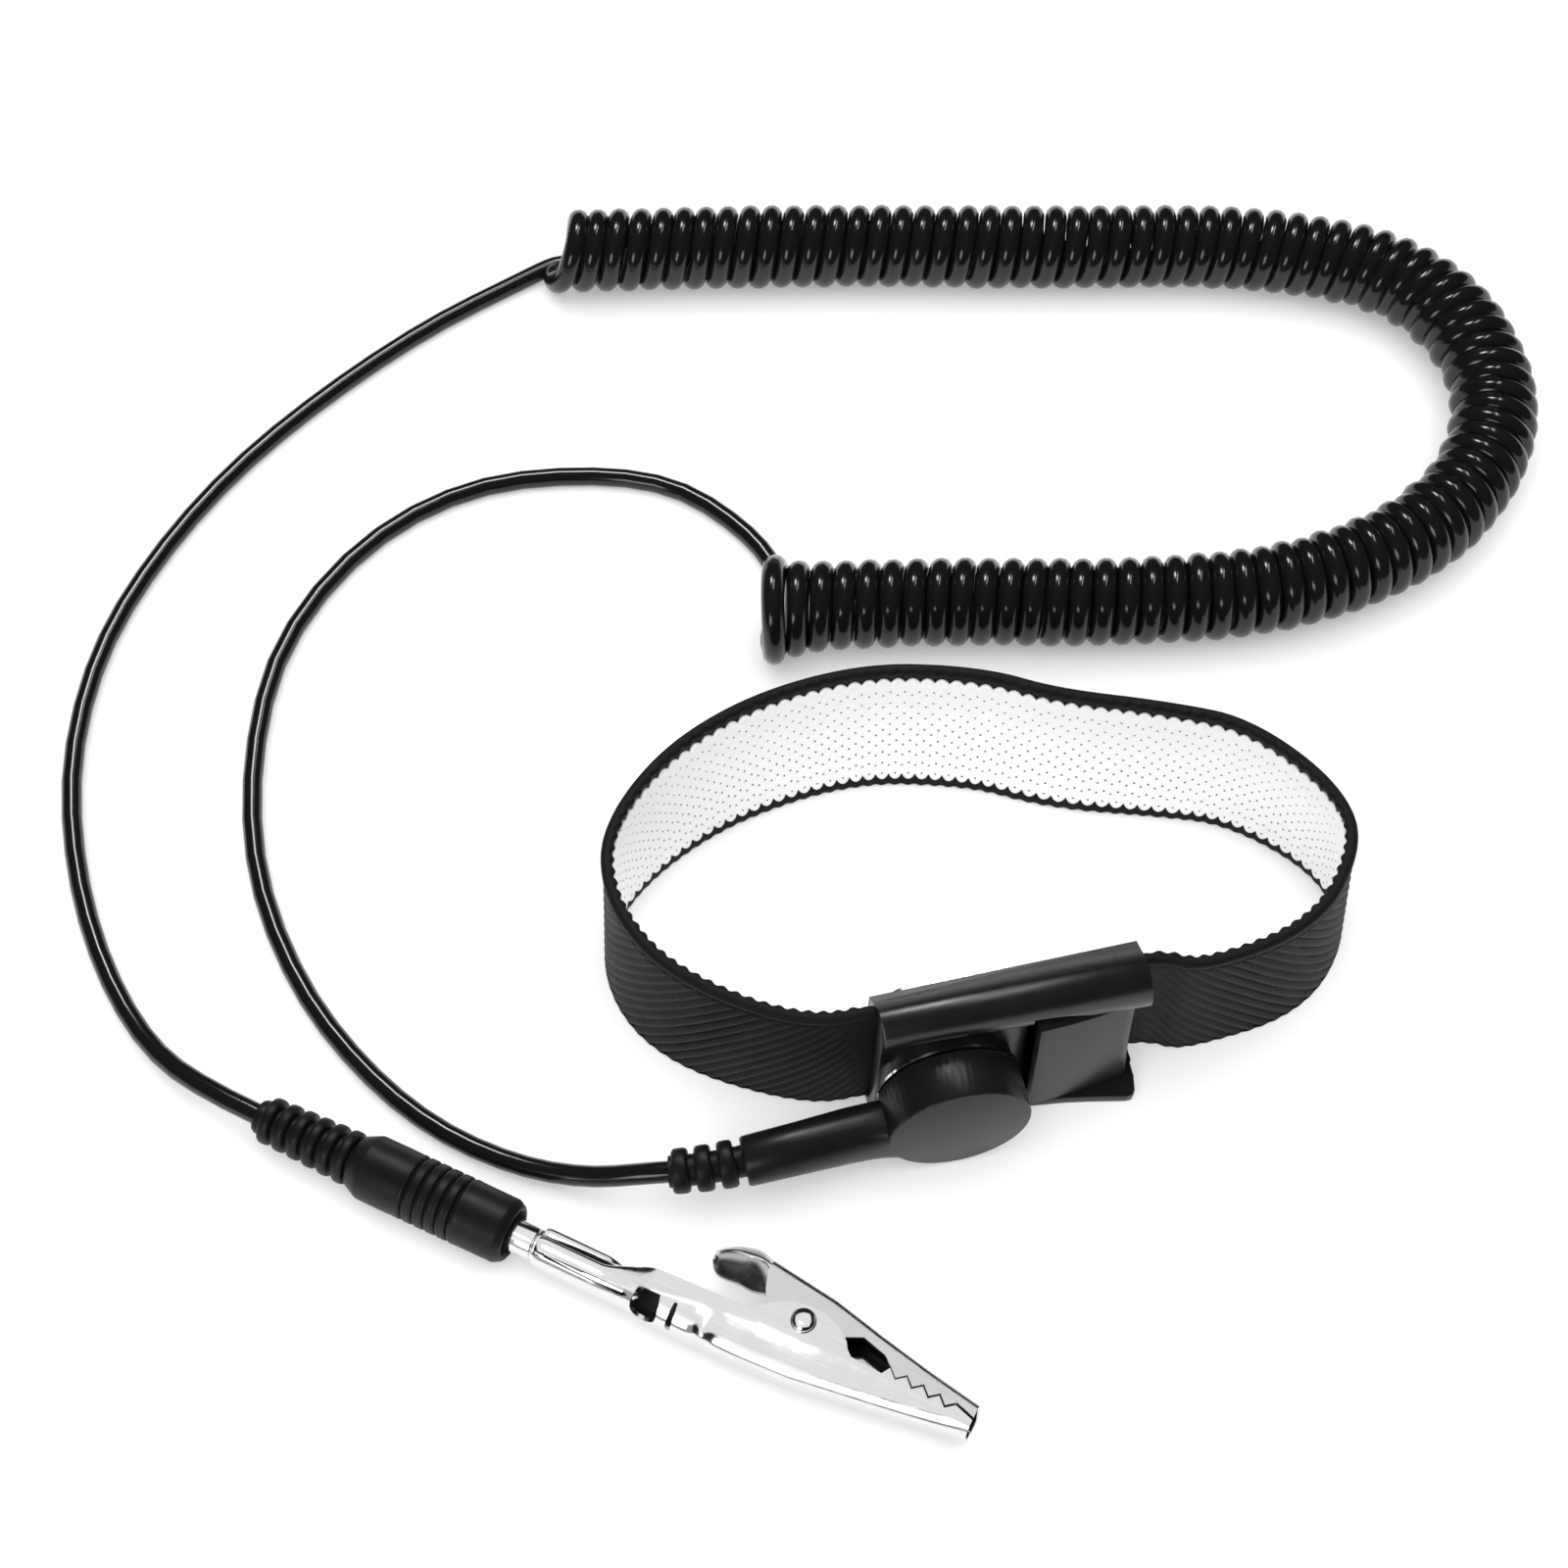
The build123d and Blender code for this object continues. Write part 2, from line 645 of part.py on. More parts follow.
with BuildPart() as clip_upper_jaw:
    add(tapered_bar(upper_outer, UPPER_WIDTH, TIP_WIDTH - 0.2))
    add(tapered_bar(upper_inner, UPPER_WIDTH - 2 * SHEET, TIP_WIDTH - 0.2 - 2 * SHEET), mode=Mode.SUBTRACT)
    with BuildSketch(tab_plane):
        with Locations((TAB_LENGTH - TAB_WIDTH / 2, 0)):
            Circle(TAB_WIDTH / 2)
        Rectangle(TAB_LENGTH - TAB_WIDTH / 2, UPPER_WIDTH, align=(Align.MIN, Align.CENTER))
    extrude(amount=SHEET)
    with BuildSketch(clip_plane):
        with Locations((RIVET_X, RIVET_Y)):
            Circle(RIVET_RADIUS + RUNNING)
    extrude(amount=JAW_WIDTH, both=True, mode=Mode.SUBTRACT)
finish("clip_upper_jaw", clip_upper_jaw)

with BuildPart() as clip_rivet:
    with Locations(clip_plane):
        with Locations((RIVET_X, RIVET_Y, 0)):
            Cylinder(RIVET_RADIUS, JAW_WIDTH)
            with Locations((0, 0, JAW_WIDTH / 2), (0, 0, -JAW_WIDTH / 2 - 0.4)):
                Cylinder(RIVET_RADIUS + 0.5, 0.4, align=(Align.CENTER, Align.CENTER, Align.MIN))
finish("clip_rivet", clip_rivet)

SPRING_INNER, SPRING_OUTER, SPRING_WIDTH = 1.25, 1.85, 3.4
with BuildPart() as clip_spring:
    with BuildSketch(clip_plane.offset(-SPRING_WIDTH / 2)):
        with Locations((RIVET_X, RIVET_Y)):
            Circle(SPRING_OUTER)
            Circle(SPRING_INNER, mode=Mode.SUBTRACT)
    extrude(amount=SPRING_WIDTH)
    with BuildSketch(clip_plane.offset(-SPRING_WIDTH / 2)):
        with BuildLine():
            Polyline(
                (RIVET_X - 1.5, RIVET_Y - 1.0),
                (26.0, -1.35),
                (26.0, -0.85),
                (RIVET_X - 1.5, RIVET_Y - 0.4),
                close=True,
            )
        make_face()
    extrude(amount=0.6)
    with BuildSketch(clip_plane.offset(SPRING_WIDTH / 2 - 0.6)):
        with BuildLine():
            Polyline(
                (RIVET_X - 1.5, RIVET_Y + 0.4),
                (29.2, 7.3),
                (29.2, 7.9),
                (RIVET_X - 1.5, RIVET_Y + 1.0),
                close=True,
            )
        make_face()
    extrude(amount=0.6)
finish("clip_spring", clip_spring)
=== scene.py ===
import math

import bmesh
import bpy
import numpy as np
from mathutils import Matrix, Vector


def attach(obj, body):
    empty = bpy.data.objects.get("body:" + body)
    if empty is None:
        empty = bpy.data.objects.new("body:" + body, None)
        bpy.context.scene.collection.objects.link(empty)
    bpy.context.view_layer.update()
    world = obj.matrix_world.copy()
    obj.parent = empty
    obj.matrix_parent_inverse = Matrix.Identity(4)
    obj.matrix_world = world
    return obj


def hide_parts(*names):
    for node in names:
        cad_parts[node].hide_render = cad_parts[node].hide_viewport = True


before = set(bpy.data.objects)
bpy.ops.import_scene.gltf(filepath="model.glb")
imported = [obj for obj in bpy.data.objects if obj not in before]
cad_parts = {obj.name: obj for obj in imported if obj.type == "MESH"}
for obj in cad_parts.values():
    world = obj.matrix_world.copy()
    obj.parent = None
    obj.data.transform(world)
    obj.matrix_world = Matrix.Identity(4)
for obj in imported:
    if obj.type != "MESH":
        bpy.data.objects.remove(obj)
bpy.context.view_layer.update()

MM = 0.001
scene = bpy.context.scene
scene.view_settings.view_transform = "Standard"
scene.view_settings.look = "None"


def linked(name, data):
    """A new object in the scene."""
    piece = bpy.data.objects.new(name, data)
    scene.collection.objects.link(piece)
    return piece


def set_inputs(node, values):
    for name, value in values.items():
        node.inputs[name].default_value = value


# ---------------------------------------------------------------- camera, floor and light
def make_camera():
    """The studio camera: high in front of the strap, tilted down at it."""
    pitch_down = math.radians(57.5)
    data = bpy.data.cameras.new("camera")
    data.sensor_width = 36
    data.lens = 67.37
    data.clip_start = 0.02
    camera = linked("camera", data)
    camera.location = Vector((-23.2, -176.0, 314.1)) * MM
    camera.rotation_euler = (math.pi / 2 - pitch_down, 0, 0)
    scene.camera = camera


def make_light(name, location, target, size, energy, mirrored=True, spread=True):
    """A soft box that looks at a point; it may be kept out of gloss, or kept to gloss alone."""
    data = bpy.data.lights.new(name, "AREA")
    data.shape = "RECTANGLE"
    data.size, data.size_y = size
    data.energy = energy
    light = linked(name, data)
    light.location = location
    light.visible_glossy = mirrored
    light.visible_diffuse = spread
    light.rotation_euler = (Vector(target) - Vector(location)).to_track_quat("-Z", "Y").to_euler()


def make_stage():
    """A pale floor under a dark sky with a pale horizon, and soft boxes."""
    bpy.ops.mesh.primitive_plane_add(size=6, location=(0, 0, 0))
    floor = bpy.context.object
    floor.name = "floor"
    material = bpy.data.materials.new("floor_paper")
    material.use_nodes = True
    shader = material.node_tree.nodes["Principled BSDF"]
    set_inputs(shader, {
        "Base Color": (0.66, 0.67, 0.665, 1),
        "Emission Color": (1, 1, 1, 1),
        "Emission Strength": 0.32,
        "Roughness": 0.9,
        "Specular IOR Level": 0.1,
    })
    floor.data.materials.append(material)

    world = bpy.data.worlds.new("room")
    world.use_nodes = True
    tree = world.node_tree
    background = tree.nodes["Background"]
    place = tree.nodes.new("ShaderNodeTexCoord")
    parts = tree.nodes.new("ShaderNodeSeparateXYZ")
    fade = tree.nodes.new("ShaderNodeMapRange")
    set_inputs(fade, {"From Min": 0.0, "From Max": 0.5, "To Min": 0.85, "To Max": 0.06})
    tree.links.new(place.outputs["Generated"], parts.inputs["Vector"])
    tree.links.new(parts.outputs["Z"], fade.inputs["Value"])
    tree.links.new(fade.outputs["Result"], background.inputs["Strength"])
    scene.world = world
    make_light("ceiling", (0.0, 0.1, 1.0), (0, 0.02, 0), (2.0, 2.0), 31.0, False)
    make_light("key", (-0.12, 0.42, 0.62), (0, 0.02, 0), (0.16, 0.16), 1.9, spread=False)
    make_light("strip", (0.10, 0.30, 0.62), (0, 0.02, 0), (0.05, 0.3), 0.8, spread=False)
    make_light("front", (-0.35, -0.6, 0.35), (0, 0.0, 0), (0.3, 0.3), 1.6)


# ---------------------------------------------------------------- materials
def new_material(name, color, roughness, metallic=0.0):
    """A principled material and its node tree."""
    material = bpy.data.materials.new(name)
    material.use_nodes = True
    shader = material.node_tree.nodes["Principled BSDF"]
    set_inputs(shader, {"Base Color": (*color, 1), "Roughness": roughness, "Metallic": metallic})
    return material


def jacket_material():
    """Glossy black PVC."""
    material = new_material("cord_jacket", (0.006, 0.006, 0.0065), 0.16)
    nodes_of(material)[1].inputs["Specular IOR Level"].default_value = 0.4
    return material


# ---------------------------------------------------------------- places on the buckle and the clip
UP = Vector((0, 0, 1))
BUCKLE_ORIGIN = Vector((2.0, -16.7, 0.0))
BUCKLE_ANGLE = math.radians(12)
buckle_x = Vector((math.cos(BUCKLE_ANGLE), math.sin(BUCKLE_ANGLE), 0))
buckle_y = Vector((-buckle_x.y, buckle_x.x, 0))

CLIP_ORIGIN = Vector((-54.0, -39.4, 3.9))
CLIP_ANGLE = math.radians(-26.3)
clip_x = Vector((math.cos(CLIP_ANGLE), math.sin(CLIP_ANGLE), 0))
clip_y = Vector((-clip_x.y, clip_x.x, 0))


def buckle_point(x, y, z):
    """A point along the buckle, towards its back and up, in row millimetres."""
    return BUCKLE_ORIGIN + buckle_x * x + buckle_y * y + UP * z


def clip_point(x, y, z):
    """A point along the clip towards its tip, across it towards its back jaw and up."""
    return CLIP_ORIGIN + clip_x * x + clip_y * y + UP * z


SNAP_X = -7.3
SNAP_Z = 8.9
STEM_DROOP = math.radians(5)
stem_start = buckle_point(SNAP_X, -8.25, SNAP_Z)
stem_x = -buckle_x * math.cos(STEM_DROOP) - UP * math.sin(STEM_DROOP)
stem_up = buckle_y.cross(stem_x)
if stem_up.z < 0:
    stem_up = -stem_up
STEM_END = 25.0
BOOT_LENGTH = 8.5
BOOT_BEND = math.radians(-10)


def boot_line(along):
    """The place and the heading of the bent strain relief's axis, at a distance along the stem."""
    beyond = max(0.0, along - STEM_END)
    place = stem_start + stem_x * min(along, STEM_END)
    steps = 12
    for k in range(steps):
        turn = BOOT_BEND * (k + 0.5) / steps * beyond / BOOT_LENGTH
        place = place + Matrix.Rotation(turn, 3, "Z") @ stem_x * (beyond / steps)
    return place, Matrix.Rotation(BOOT_BEND * beyond / BOOT_LENGTH, 3, "Z") @ stem_x


boot_exit, boot_heading = boot_line(STEM_END + BOOT_LENGTH)
banana_exit = clip_point(-34.0, 0, 0)


# ---------------------------------------------------------------- cord
CORD_RADIUS = 1.28
STRAND_RADIUS = 1.5
COIL_RADIUS = 5.8

def at_height(height, places):
    return [(x, y, height) for x, y in places]


wrist_route = [
    boot_exit,
    boot_exit + boot_heading * 3,
    (-46.0, -31.9, 2.9),
    (-54.5, -29.8, 1.7),
    *at_height(CORD_RADIUS, [
        (-64.5, -24.8), (-73.5, -17.0), (-82.0, -6.0), (-88.8, 9.5), (-91.0, 26.5), (-89.2, 45.0),
        (-79.5, 61.5), (-66.0, 71.0), (-51.0, 73.2), (-38.0, 71.5), (-28.5, 63.8), (-24.0, 57.0),
        (-23.6, 51.0),
    ]),
]
coil_route = [
    *at_height(COIL_RADIUS, [
        (-25.5, 47.2), (-5.0, 48.6), (20.0, 48.0), (45.0, 50.5), (66.0, 62.0), (75.5, 82.5),
        (67.0, 104.2), (43.0, 110.5), (14.0, 109.9), (-22.0, 110.5), (-54.0, 109.2),
    ]),
]
clip_route = [
    *at_height(CORD_RADIUS, [
        (-54.8, 109.6), (-53.6, 111.2), (-56.0, 111.0), (-60.4, 108.0), (-73.0, 99.5),
        (-86.5, 87.0), (-98.2, 73.5), (-107.0, 58.5), (-112.6, 43.5), (-114.0, 26.5),
        (-111.2, 10.5), (-106.0, -3.5),
    ]),
    (-99.0, -14.5, 1.6),
    clip_point(-41.5, 0, 0),
    banana_exit,
]


def nurbs_curve(name, points, resolution, radii=None):
    """A curve object of one quadratic NURBS spline through its end points, from millimetre points."""
    data = bpy.data.curves.new(name, "CURVE")
    data.dimensions = "3D"
    spline = data.splines.new("NURBS")
    spline.points.add(len(points) - 1)
    for i, place in enumerate(points):
        spline.points[i].co = (*(Vector(place) * MM), 1)
        if radii:
            spline.points[i].radius = radii[i]
    spline.order_u = 3
    spline.use_endpoint_u = True
    data.resolution_u = resolution
    return linked(name, data)


def line_of(points, resolution=24):
    """Points along the NURBS line of a route, in millimetres."""
    curve = nurbs_curve("line", points, resolution)
    mesh = bpy.data.meshes.new_from_object(curve)
    line = np.array([v.co for v in mesh.vertices]) / MM
    data = curve.data
    bpy.data.objects.remove(curve)
    bpy.data.curves.remove(data)
    bpy.data.meshes.remove(mesh)
    return line


def helix_points():
    """The coil's turns about its axis line, a dozen control points to each turn.

    The turns lie against each other and lean a little. In the bend they crowd on the inner side, where
    every other one is squeezed outwards. The turn that the wrist lead comes into is slack and wide."""
    per_turn = 12
    pitch = 3.07
    axis = line_of(coil_route)
    step = np.linalg.norm(np.diff(axis, axis=0), axis=1)
    along = np.concatenate(([0.0], np.cumsum(step)))
    samples = np.linspace(0.0, along[-1] + 0.6, 2000)

    def at(s):
        beyond = max(0.0, s - along[-1]) * (axis[-1] - axis[-4]) / np.linalg.norm(axis[-1] - axis[-4])
        return np.array([np.interp(s, along, axis[:, k]) for k in range(3)]) + beyond

    def heading(s):
        way = at(s + 0.5) - at(s - 0.5)
        return way / np.linalg.norm(way)

    def bend(s):
        return min(1.0, 22 / 8 * float(np.linalg.norm(heading(s + 4) - heading(s - 4))))

    bends = np.array([bend(s) for s in samples])
    density = (1 + 0.12 * bends) / pitch
    turned = np.concatenate(([0.0], np.cumsum((density[1:] + density[:-1]) / 2 * np.diff(samples))))
    turns = round(turned[-1])
    turned *= turns / turned[-1]
    rng = np.random.default_rng(7)
    wobble = rng.normal(0, 1, (turns + 2, 3))
    control_radius = (COIL_RADIUS - STRAND_RADIUS) / 0.966
    points = []
    for i in range(turns * per_turn + 1):
        t = i / per_turn
        s = float(np.interp(t, turned, samples))
        way = heading(s)
        side = np.array([-way[1], way[0], 0.0])
        bent = float(np.interp(s, samples, bends))
        back = -math.sin(2 * math.pi * t)
        height = -math.cos(2 * math.pi * t)
        loose = 1.35 * math.exp(-max(t - 0.5, 0) / 0.9)
        inner = max(0.0, back) ** 2 * bent
        shake = np.array([np.interp(t, np.arange(turns + 2), wobble[:, k]) for k in range(3)])
        radius = control_radius + loose + 0.4 * inner * math.cos(math.pi * (t - 0.75)) + 0.05 * shake[0]
        lean = -0.3 - 1.3 * math.exp(-(turns - t) / 1.3) - 0.25 * bent + 0.08 * shake[1]
        centre = at(s) + np.array([0, -0.9 * loose, loose + 0.15])
        points.append(centre + radius * (back * side + height * np.array([0, 0, 1.0])) + way * lean * height)
    return points, turns


def make_cord():
    """The whole cord, boot to boot, as one line with the coil's turns in it."""
    turns, count = helix_points()
    points = wrist_route + turns + clip_route
    thick = STRAND_RADIUS / CORD_RADIUS
    radii = [1.0] * (len(wrist_route) - 1) + [(1 + thick) / 2] + [thick] * len(turns) + [(1 + thick) / 2]
    radii += [1.0] * (len(clip_route) - 1)
    curve = nurbs_curve("ground_cord", points, 3, radii)
    curve.data.bevel_depth = CORD_RADIUS * MM
    curve.data.bevel_resolution = 4
    curve.data.use_fill_caps = True
    line = line_of(points, 6)
    length = float(np.linalg.norm(np.diff(line, axis=0), axis=1).sum()) * MM
    print("cord turns", count, "length", round(length, 3))
    curve.data.materials.append(jacket_material())
    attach(curve, "cord_set")
    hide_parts("cord_wrist_lead", "cord_coil", "cord_clip_lead")
    return curve, length


# ---------------------------------------------------------------- mesh building
def row_point(points, origin, x_axis, y_axis):
    """Local millimetre points, as an array, in the row's millimetres."""
    points = np.asarray(points, dtype=float)
    place = np.array(origin) + points[:, :1] * np.array(x_axis)
    return place + points[:, 1:2] * np.array(y_axis) + points[:, 2:] * np.array(UP)


def on_buckle(points):
    return row_point(points, BUCKLE_ORIGIN, buckle_x, buckle_y)


def on_clip(points):
    return row_point(points, CLIP_ORIGIN, clip_x, clip_y)


def face_outwards(mesh):
    bm = bmesh.new()
    bm.from_mesh(mesh)
    bmesh.ops.recalc_face_normals(bm, faces=bm.faces)
    bm.to_mesh(mesh)
    bm.free()


def new_object(name, points, faces):
    """A mesh object from row millimetre points, with its normals outwards."""
    mesh = bpy.data.meshes.new(name)
    mesh.from_pydata((np.asarray(points) * MM).tolist(), [], faces)
    face_outwards(mesh)
    return linked(name, mesh)


def lofted(name, rings, to_row):
    """A closed skin over rings of local millimetre points."""
    points, faces = loft(rings)
    return new_object(name, to_row(points), faces)


def dress(piece, body, material, replaces=(), sharp=40.0):
    """Gives a piece its body, its finish and smooth shading with sharp edges above an angle."""
    piece.data.materials.clear()
    piece.data.materials.append(material)
    piece.data.shade_smooth()
    if sharp:
        piece.data.set_sharp_from_angle(angle=math.radians(sharp))
    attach(piece, body)
    if replaces:
        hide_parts(*replaces)
    return piece


def grid_faces(rows, columns, close_rows=False, close_columns=False):
    """Quads over a grid of points stored row by row."""
    faces = []
    for i in range(rows if close_rows else rows - 1):
        for j in range(columns if close_columns else columns - 1):
            i2, j2 = (i + 1) % rows, (j + 1) % columns
            faces.append((i * columns + j, i * columns + j2, i2 * columns + j2, i2 * columns + j))
    return faces


def loft(rings):
    """Points and faces of a skin over equal closed rings, capped at both ends."""
    points = np.concatenate(rings)
    count = len(rings[0])
    faces = grid_faces(len(rings), count, close_columns=True)
    faces.append(tuple(range(count))[::-1])
    faces.append(tuple(range((len(rings) - 1) * count, len(rings) * count)))
    return points, faces


def turned(profile, steps=64):
    """A solid of revolution about local x from (x, radius) pairs, capped at both ends."""
    turn = np.linspace(0, 2 * math.pi, steps, endpoint=False)
    rings = [np.stack([np.full(steps, x), r * np.cos(turn), r * np.sin(turn)], axis=1) for x, r in profile]
    return loft(rings)


def rounded(profile, radius, steps=4):
    """A polyline with its inner corners rounded by arcs of about this radius."""
    out = [profile[0]]
    for before, corner, after in zip(profile, profile[1:], profile[2:]):
        a, c, b = (np.array(p, dtype=float) for p in (before, corner, after))
        reach = min(radius, 0.45 * np.linalg.norm(a - c), 0.45 * np.linalg.norm(b - c))
        start = c + (a - c) / max(np.linalg.norm(a - c), 1e-9) * reach
        end = c + (b - c) / max(np.linalg.norm(b - c), 1e-9) * reach
        for k in range(steps + 1):
            t = k / steps
            out.append(tuple((1 - t) ** 2 * start + 2 * t * (1 - t) * c + t ** 2 * end))
    out.append(profile[-1])
    return out


def along_axis(points, origin, axis, up=UP):
    """Turned points moved from local x onto an axis through an origin, in row millimetres."""
    axis = Vector(axis).normalized()
    across = up.cross(axis).normalized()
    lift = axis.cross(across)
    place = np.array(origin) + points[:, :1] * np.array(axis)
    return place + points[:, 1:2] * np.array(across) + points[:, 2:] * np.array(lift)


def revolved(name, profile, steps, origin, axis, up=UP):
    """A piece turned from (x, radius) pairs about an axis through an origin."""
    points, faces = turned(profile, steps)
    return new_object(name, along_axis(points, origin, axis, up), faces)


def bevelled(piece, width, segments=3, angle=30.0):
    """Rounds the sharp edges of a piece."""
    modifier = piece.modifiers.new("bevel", "BEVEL")
    modifier.width = width * MM
    modifier.segments = segments
    modifier.limit_method = "ANGLE"
    modifier.angle_limit = math.radians(angle)
    modifier.harden_normals = True
    return piece


def applied(piece):
    """Applies a piece's modifiers to its mesh."""
    graph = bpy.context.evaluated_depsgraph_get()
    mesh = bpy.data.meshes.new_from_object(piece.evaluated_get(graph))
    old = piece.data
    piece.modifiers.clear()
    piece.data = mesh
    mesh.name = piece.name
    bpy.data.meshes.remove(old)
    return piece


def combined(piece, other, operation):
    """A piece with another added to it or cut from it; the other is used up."""
    modifier = piece.modifiers.new("combine", "BOOLEAN")
    modifier.operation = operation
    modifier.object = other
    modifier.solver = "EXACT"
    applied(piece)
    bpy.data.objects.remove(other)
    return piece


def box_object(name, low, high, to_row):
    """A box between two local corners."""
    corners = [(x, y, z) for x in (low[0], high[0]) for y in (low[1], high[1]) for z in (low[2], high[2])]
    faces = [(0, 1, 3, 2), (4, 6, 7, 5), (0, 4, 5, 1), (2, 3, 7, 6), (0, 2, 6, 4), (1, 5, 7, 3)]
    return new_object(name, to_row(corners), faces)


# ---------------------------------------------------------------- materials
def nodes_of(material):
    tree = material.node_tree
    return tree, tree.nodes["Principled BSDF"]


def add_noise(tree, scale, detail):
    """A noise texture over the piece's own coordinates."""
    place = tree.nodes.new("ShaderNodeTexCoord")
    noise = tree.nodes.new("ShaderNodeTexNoise")
    set_inputs(noise, {"Scale": scale, "Detail": detail})
    tree.links.new(place.outputs["Object"], noise.inputs["Vector"])
    return noise


def add_ramp(tree, source, stops):
    """A value ramp from (position, grey) stops."""
    ramp = tree.nodes.new("ShaderNodeMapRange")
    ramp.inputs["From Min"].default_value, ramp.inputs["To Min"].default_value = stops[0]
    ramp.inputs["From Max"].default_value, ramp.inputs["To Max"].default_value = stops[1]
    tree.links.new(source, ramp.inputs["Value"])
    return ramp.outputs["Result"]


def add_mix(tree, factor, first, second):
    """A colour that goes from one plain colour to another with a factor."""
    mix = tree.nodes.new("ShaderNodeMix")
    mix.data_type = "RGBA"
    set_inputs(mix, {"A": (*first, 1), "B": (*second, 1)})
    tree.links.new(factor, mix.inputs["Factor"])
    return mix


def add_bump(tree, shader, height, strength, distance):
    bump = tree.nodes.new("ShaderNodeBump")
    set_inputs(bump, {"Strength": strength, "Distance": distance * MM})
    tree.links.new(height, bump.inputs["Height"])
    tree.links.new(bump.outputs["Normal"], shader.inputs["Normal"])


def moulded(name, color, rough, grain=2600.0, bump=0.003, gloss=0.4):
    """Black moulded plastic or rubber: a fine spark texture, mottled gloss and a faint colour drift."""
    material = new_material(name, color, rough)
    tree, shader = nodes_of(material)
    shader.inputs["Specular IOR Level"].default_value = gloss
    fine = add_noise(tree, grain, 2.0)
    broad = add_noise(tree, 260.0, 2.0)
    mottled = add_ramp(tree, broad.outputs["Fac"], ((0.3, rough - 0.03), (0.7, rough + 0.03)))
    tree.links.new(mottled, shader.inputs["Roughness"])
    shade = add_mix(tree, broad.outputs["Fac"], [c * 0.8 for c in color], [c * 1.25 for c in color])
    tree.links.new(shade.outputs["Result"], shader.inputs["Base Color"])
    add_bump(tree, shader, fine.outputs["Fac"], 0.5, bump)
    return material


# ---------------------------------------------------------------- band
BAND_HEIGHT = 20.5
RIB_PITCH = 1.78
RIB_RISE = 1.9
ROW_RISE = 0.97  # between the rows of needle holes
loop_corners = [
    buckle_point(-23.5, 0, 0),
    buckle_point(18.5, 0, 0),
    (24.5, -14.2, 0),
    (39.5, -8.6, 0),
    (45.8, 3.0, 0),
    (43.2, 11.5, 0),
    (33.0, 19.8, 0),
    (23.5, 21.6, 0),
    (10.0, 23.2, 0),
    (0.5, 26.5, 0),
    (-15.5, 27.0, 0),
    (-33.5, 19.3, 0),
    (-44.8, 6.2, 0),
    (-44.9, -5.0, 0),
    (-37.5, -15.2, 0),
]


def loop_line(count):
    """Evenly spaced points of the band's outer line, their outward normals and the line's length.

    It starts in the middle of the buckle and runs to the right."""
    corners = [np.array(Vector(c))[:2] for c in loop_corners]
    line = []
    total = len(corners)
    for i in range(total):
        before, corner, after = corners[i - 1], corners[i], corners[(i + 1) % total]
        start = corner + (before - corner) * 0.5
        end = corner + (after - corner) * 0.5
        if i == 0:
            end = corner + (after - corner) * 0.12
        if i == 1:
            start = corner + (before - corner) * 0.12
        for k in range(40):
            t = k / 40
            line.append((1 - t) ** 2 * start + 2 * t * (1 - t) * corner + t ** 2 * end)
        if i == 0:
            straight = corners[1] + (corner - corners[1]) * 0.12
            line += [end + (straight - end) * k / 200 for k in range(200)]
    line = np.array(line)
    centre = np.array(buckle_point(0.25, 0, 0))[:2]
    line = np.roll(line, -int(np.argmin(np.linalg.norm(line - centre, axis=1))), axis=0)
    closed = np.vstack([line, line[:1]])
    along = np.concatenate(([0.0], np.cumsum(np.linalg.norm(np.diff(closed, axis=0), axis=1))))
    stations = np.linspace(0, along[-1], count, endpoint=False)
    points = np.stack([np.interp(stations, along, closed[:, k]) for k in (0, 1)], axis=1)
    ahead = np.roll(points, -1, axis=0) - np.roll(points, 1, axis=0)
    ahead /= np.linalg.norm(ahead, axis=1)[:, None]
    normals = np.stack([ahead[:, 1], -ahead[:, 0]], axis=1)
    for _ in range(60):
        normals = (normals + np.roll(normals, 1, axis=0) + np.roll(normals, -1, axis=0)) / 3
    normals /= np.linalg.norm(normals, axis=1)[:, None]
    return points, normals, stations, along[-1]


def smooth_step(value, low, high):
    t = np.clip((value - low) / (high - low), 0, 1)
    return t * t * (3 - 2 * t)


def wall_shape(stations, length):
    """How far the wall leans out at the top, and how high it is lifted in the buckle, at each station."""
    from_buckle = np.minimum(stations, length - stations)
    places = (0, 28, 38, 48, 57, 66, 76, 88, 112)
    lean = np.interp(from_buckle, places, (0, -0.3, -1.3, -1.8, -1.0, 0.6, 2.3, 3.3, 3.7))
    for _ in range(len(lean) // 60):
        lean = (lean + np.roll(lean, 3) + np.roll(lean, -3)) / 3
    lift = np.where(stations < length / 2, 0.6, 0.15) * (1 - smooth_step(from_buckle, 16, 24))
    return lean, lift


def wall_point(wall, out, height):
    """Row points at an outward offset and a height on the band's wall, for every station."""
    points, normals, stations, length = wall
    lean, lift = wall_shape(stations, length)
    shift = out + lean * (height / BAND_HEIGHT - 0.5)
    flat = points + normals * shift[:, None]
    return np.column_stack([flat, height + lift * np.ones(len(points))])


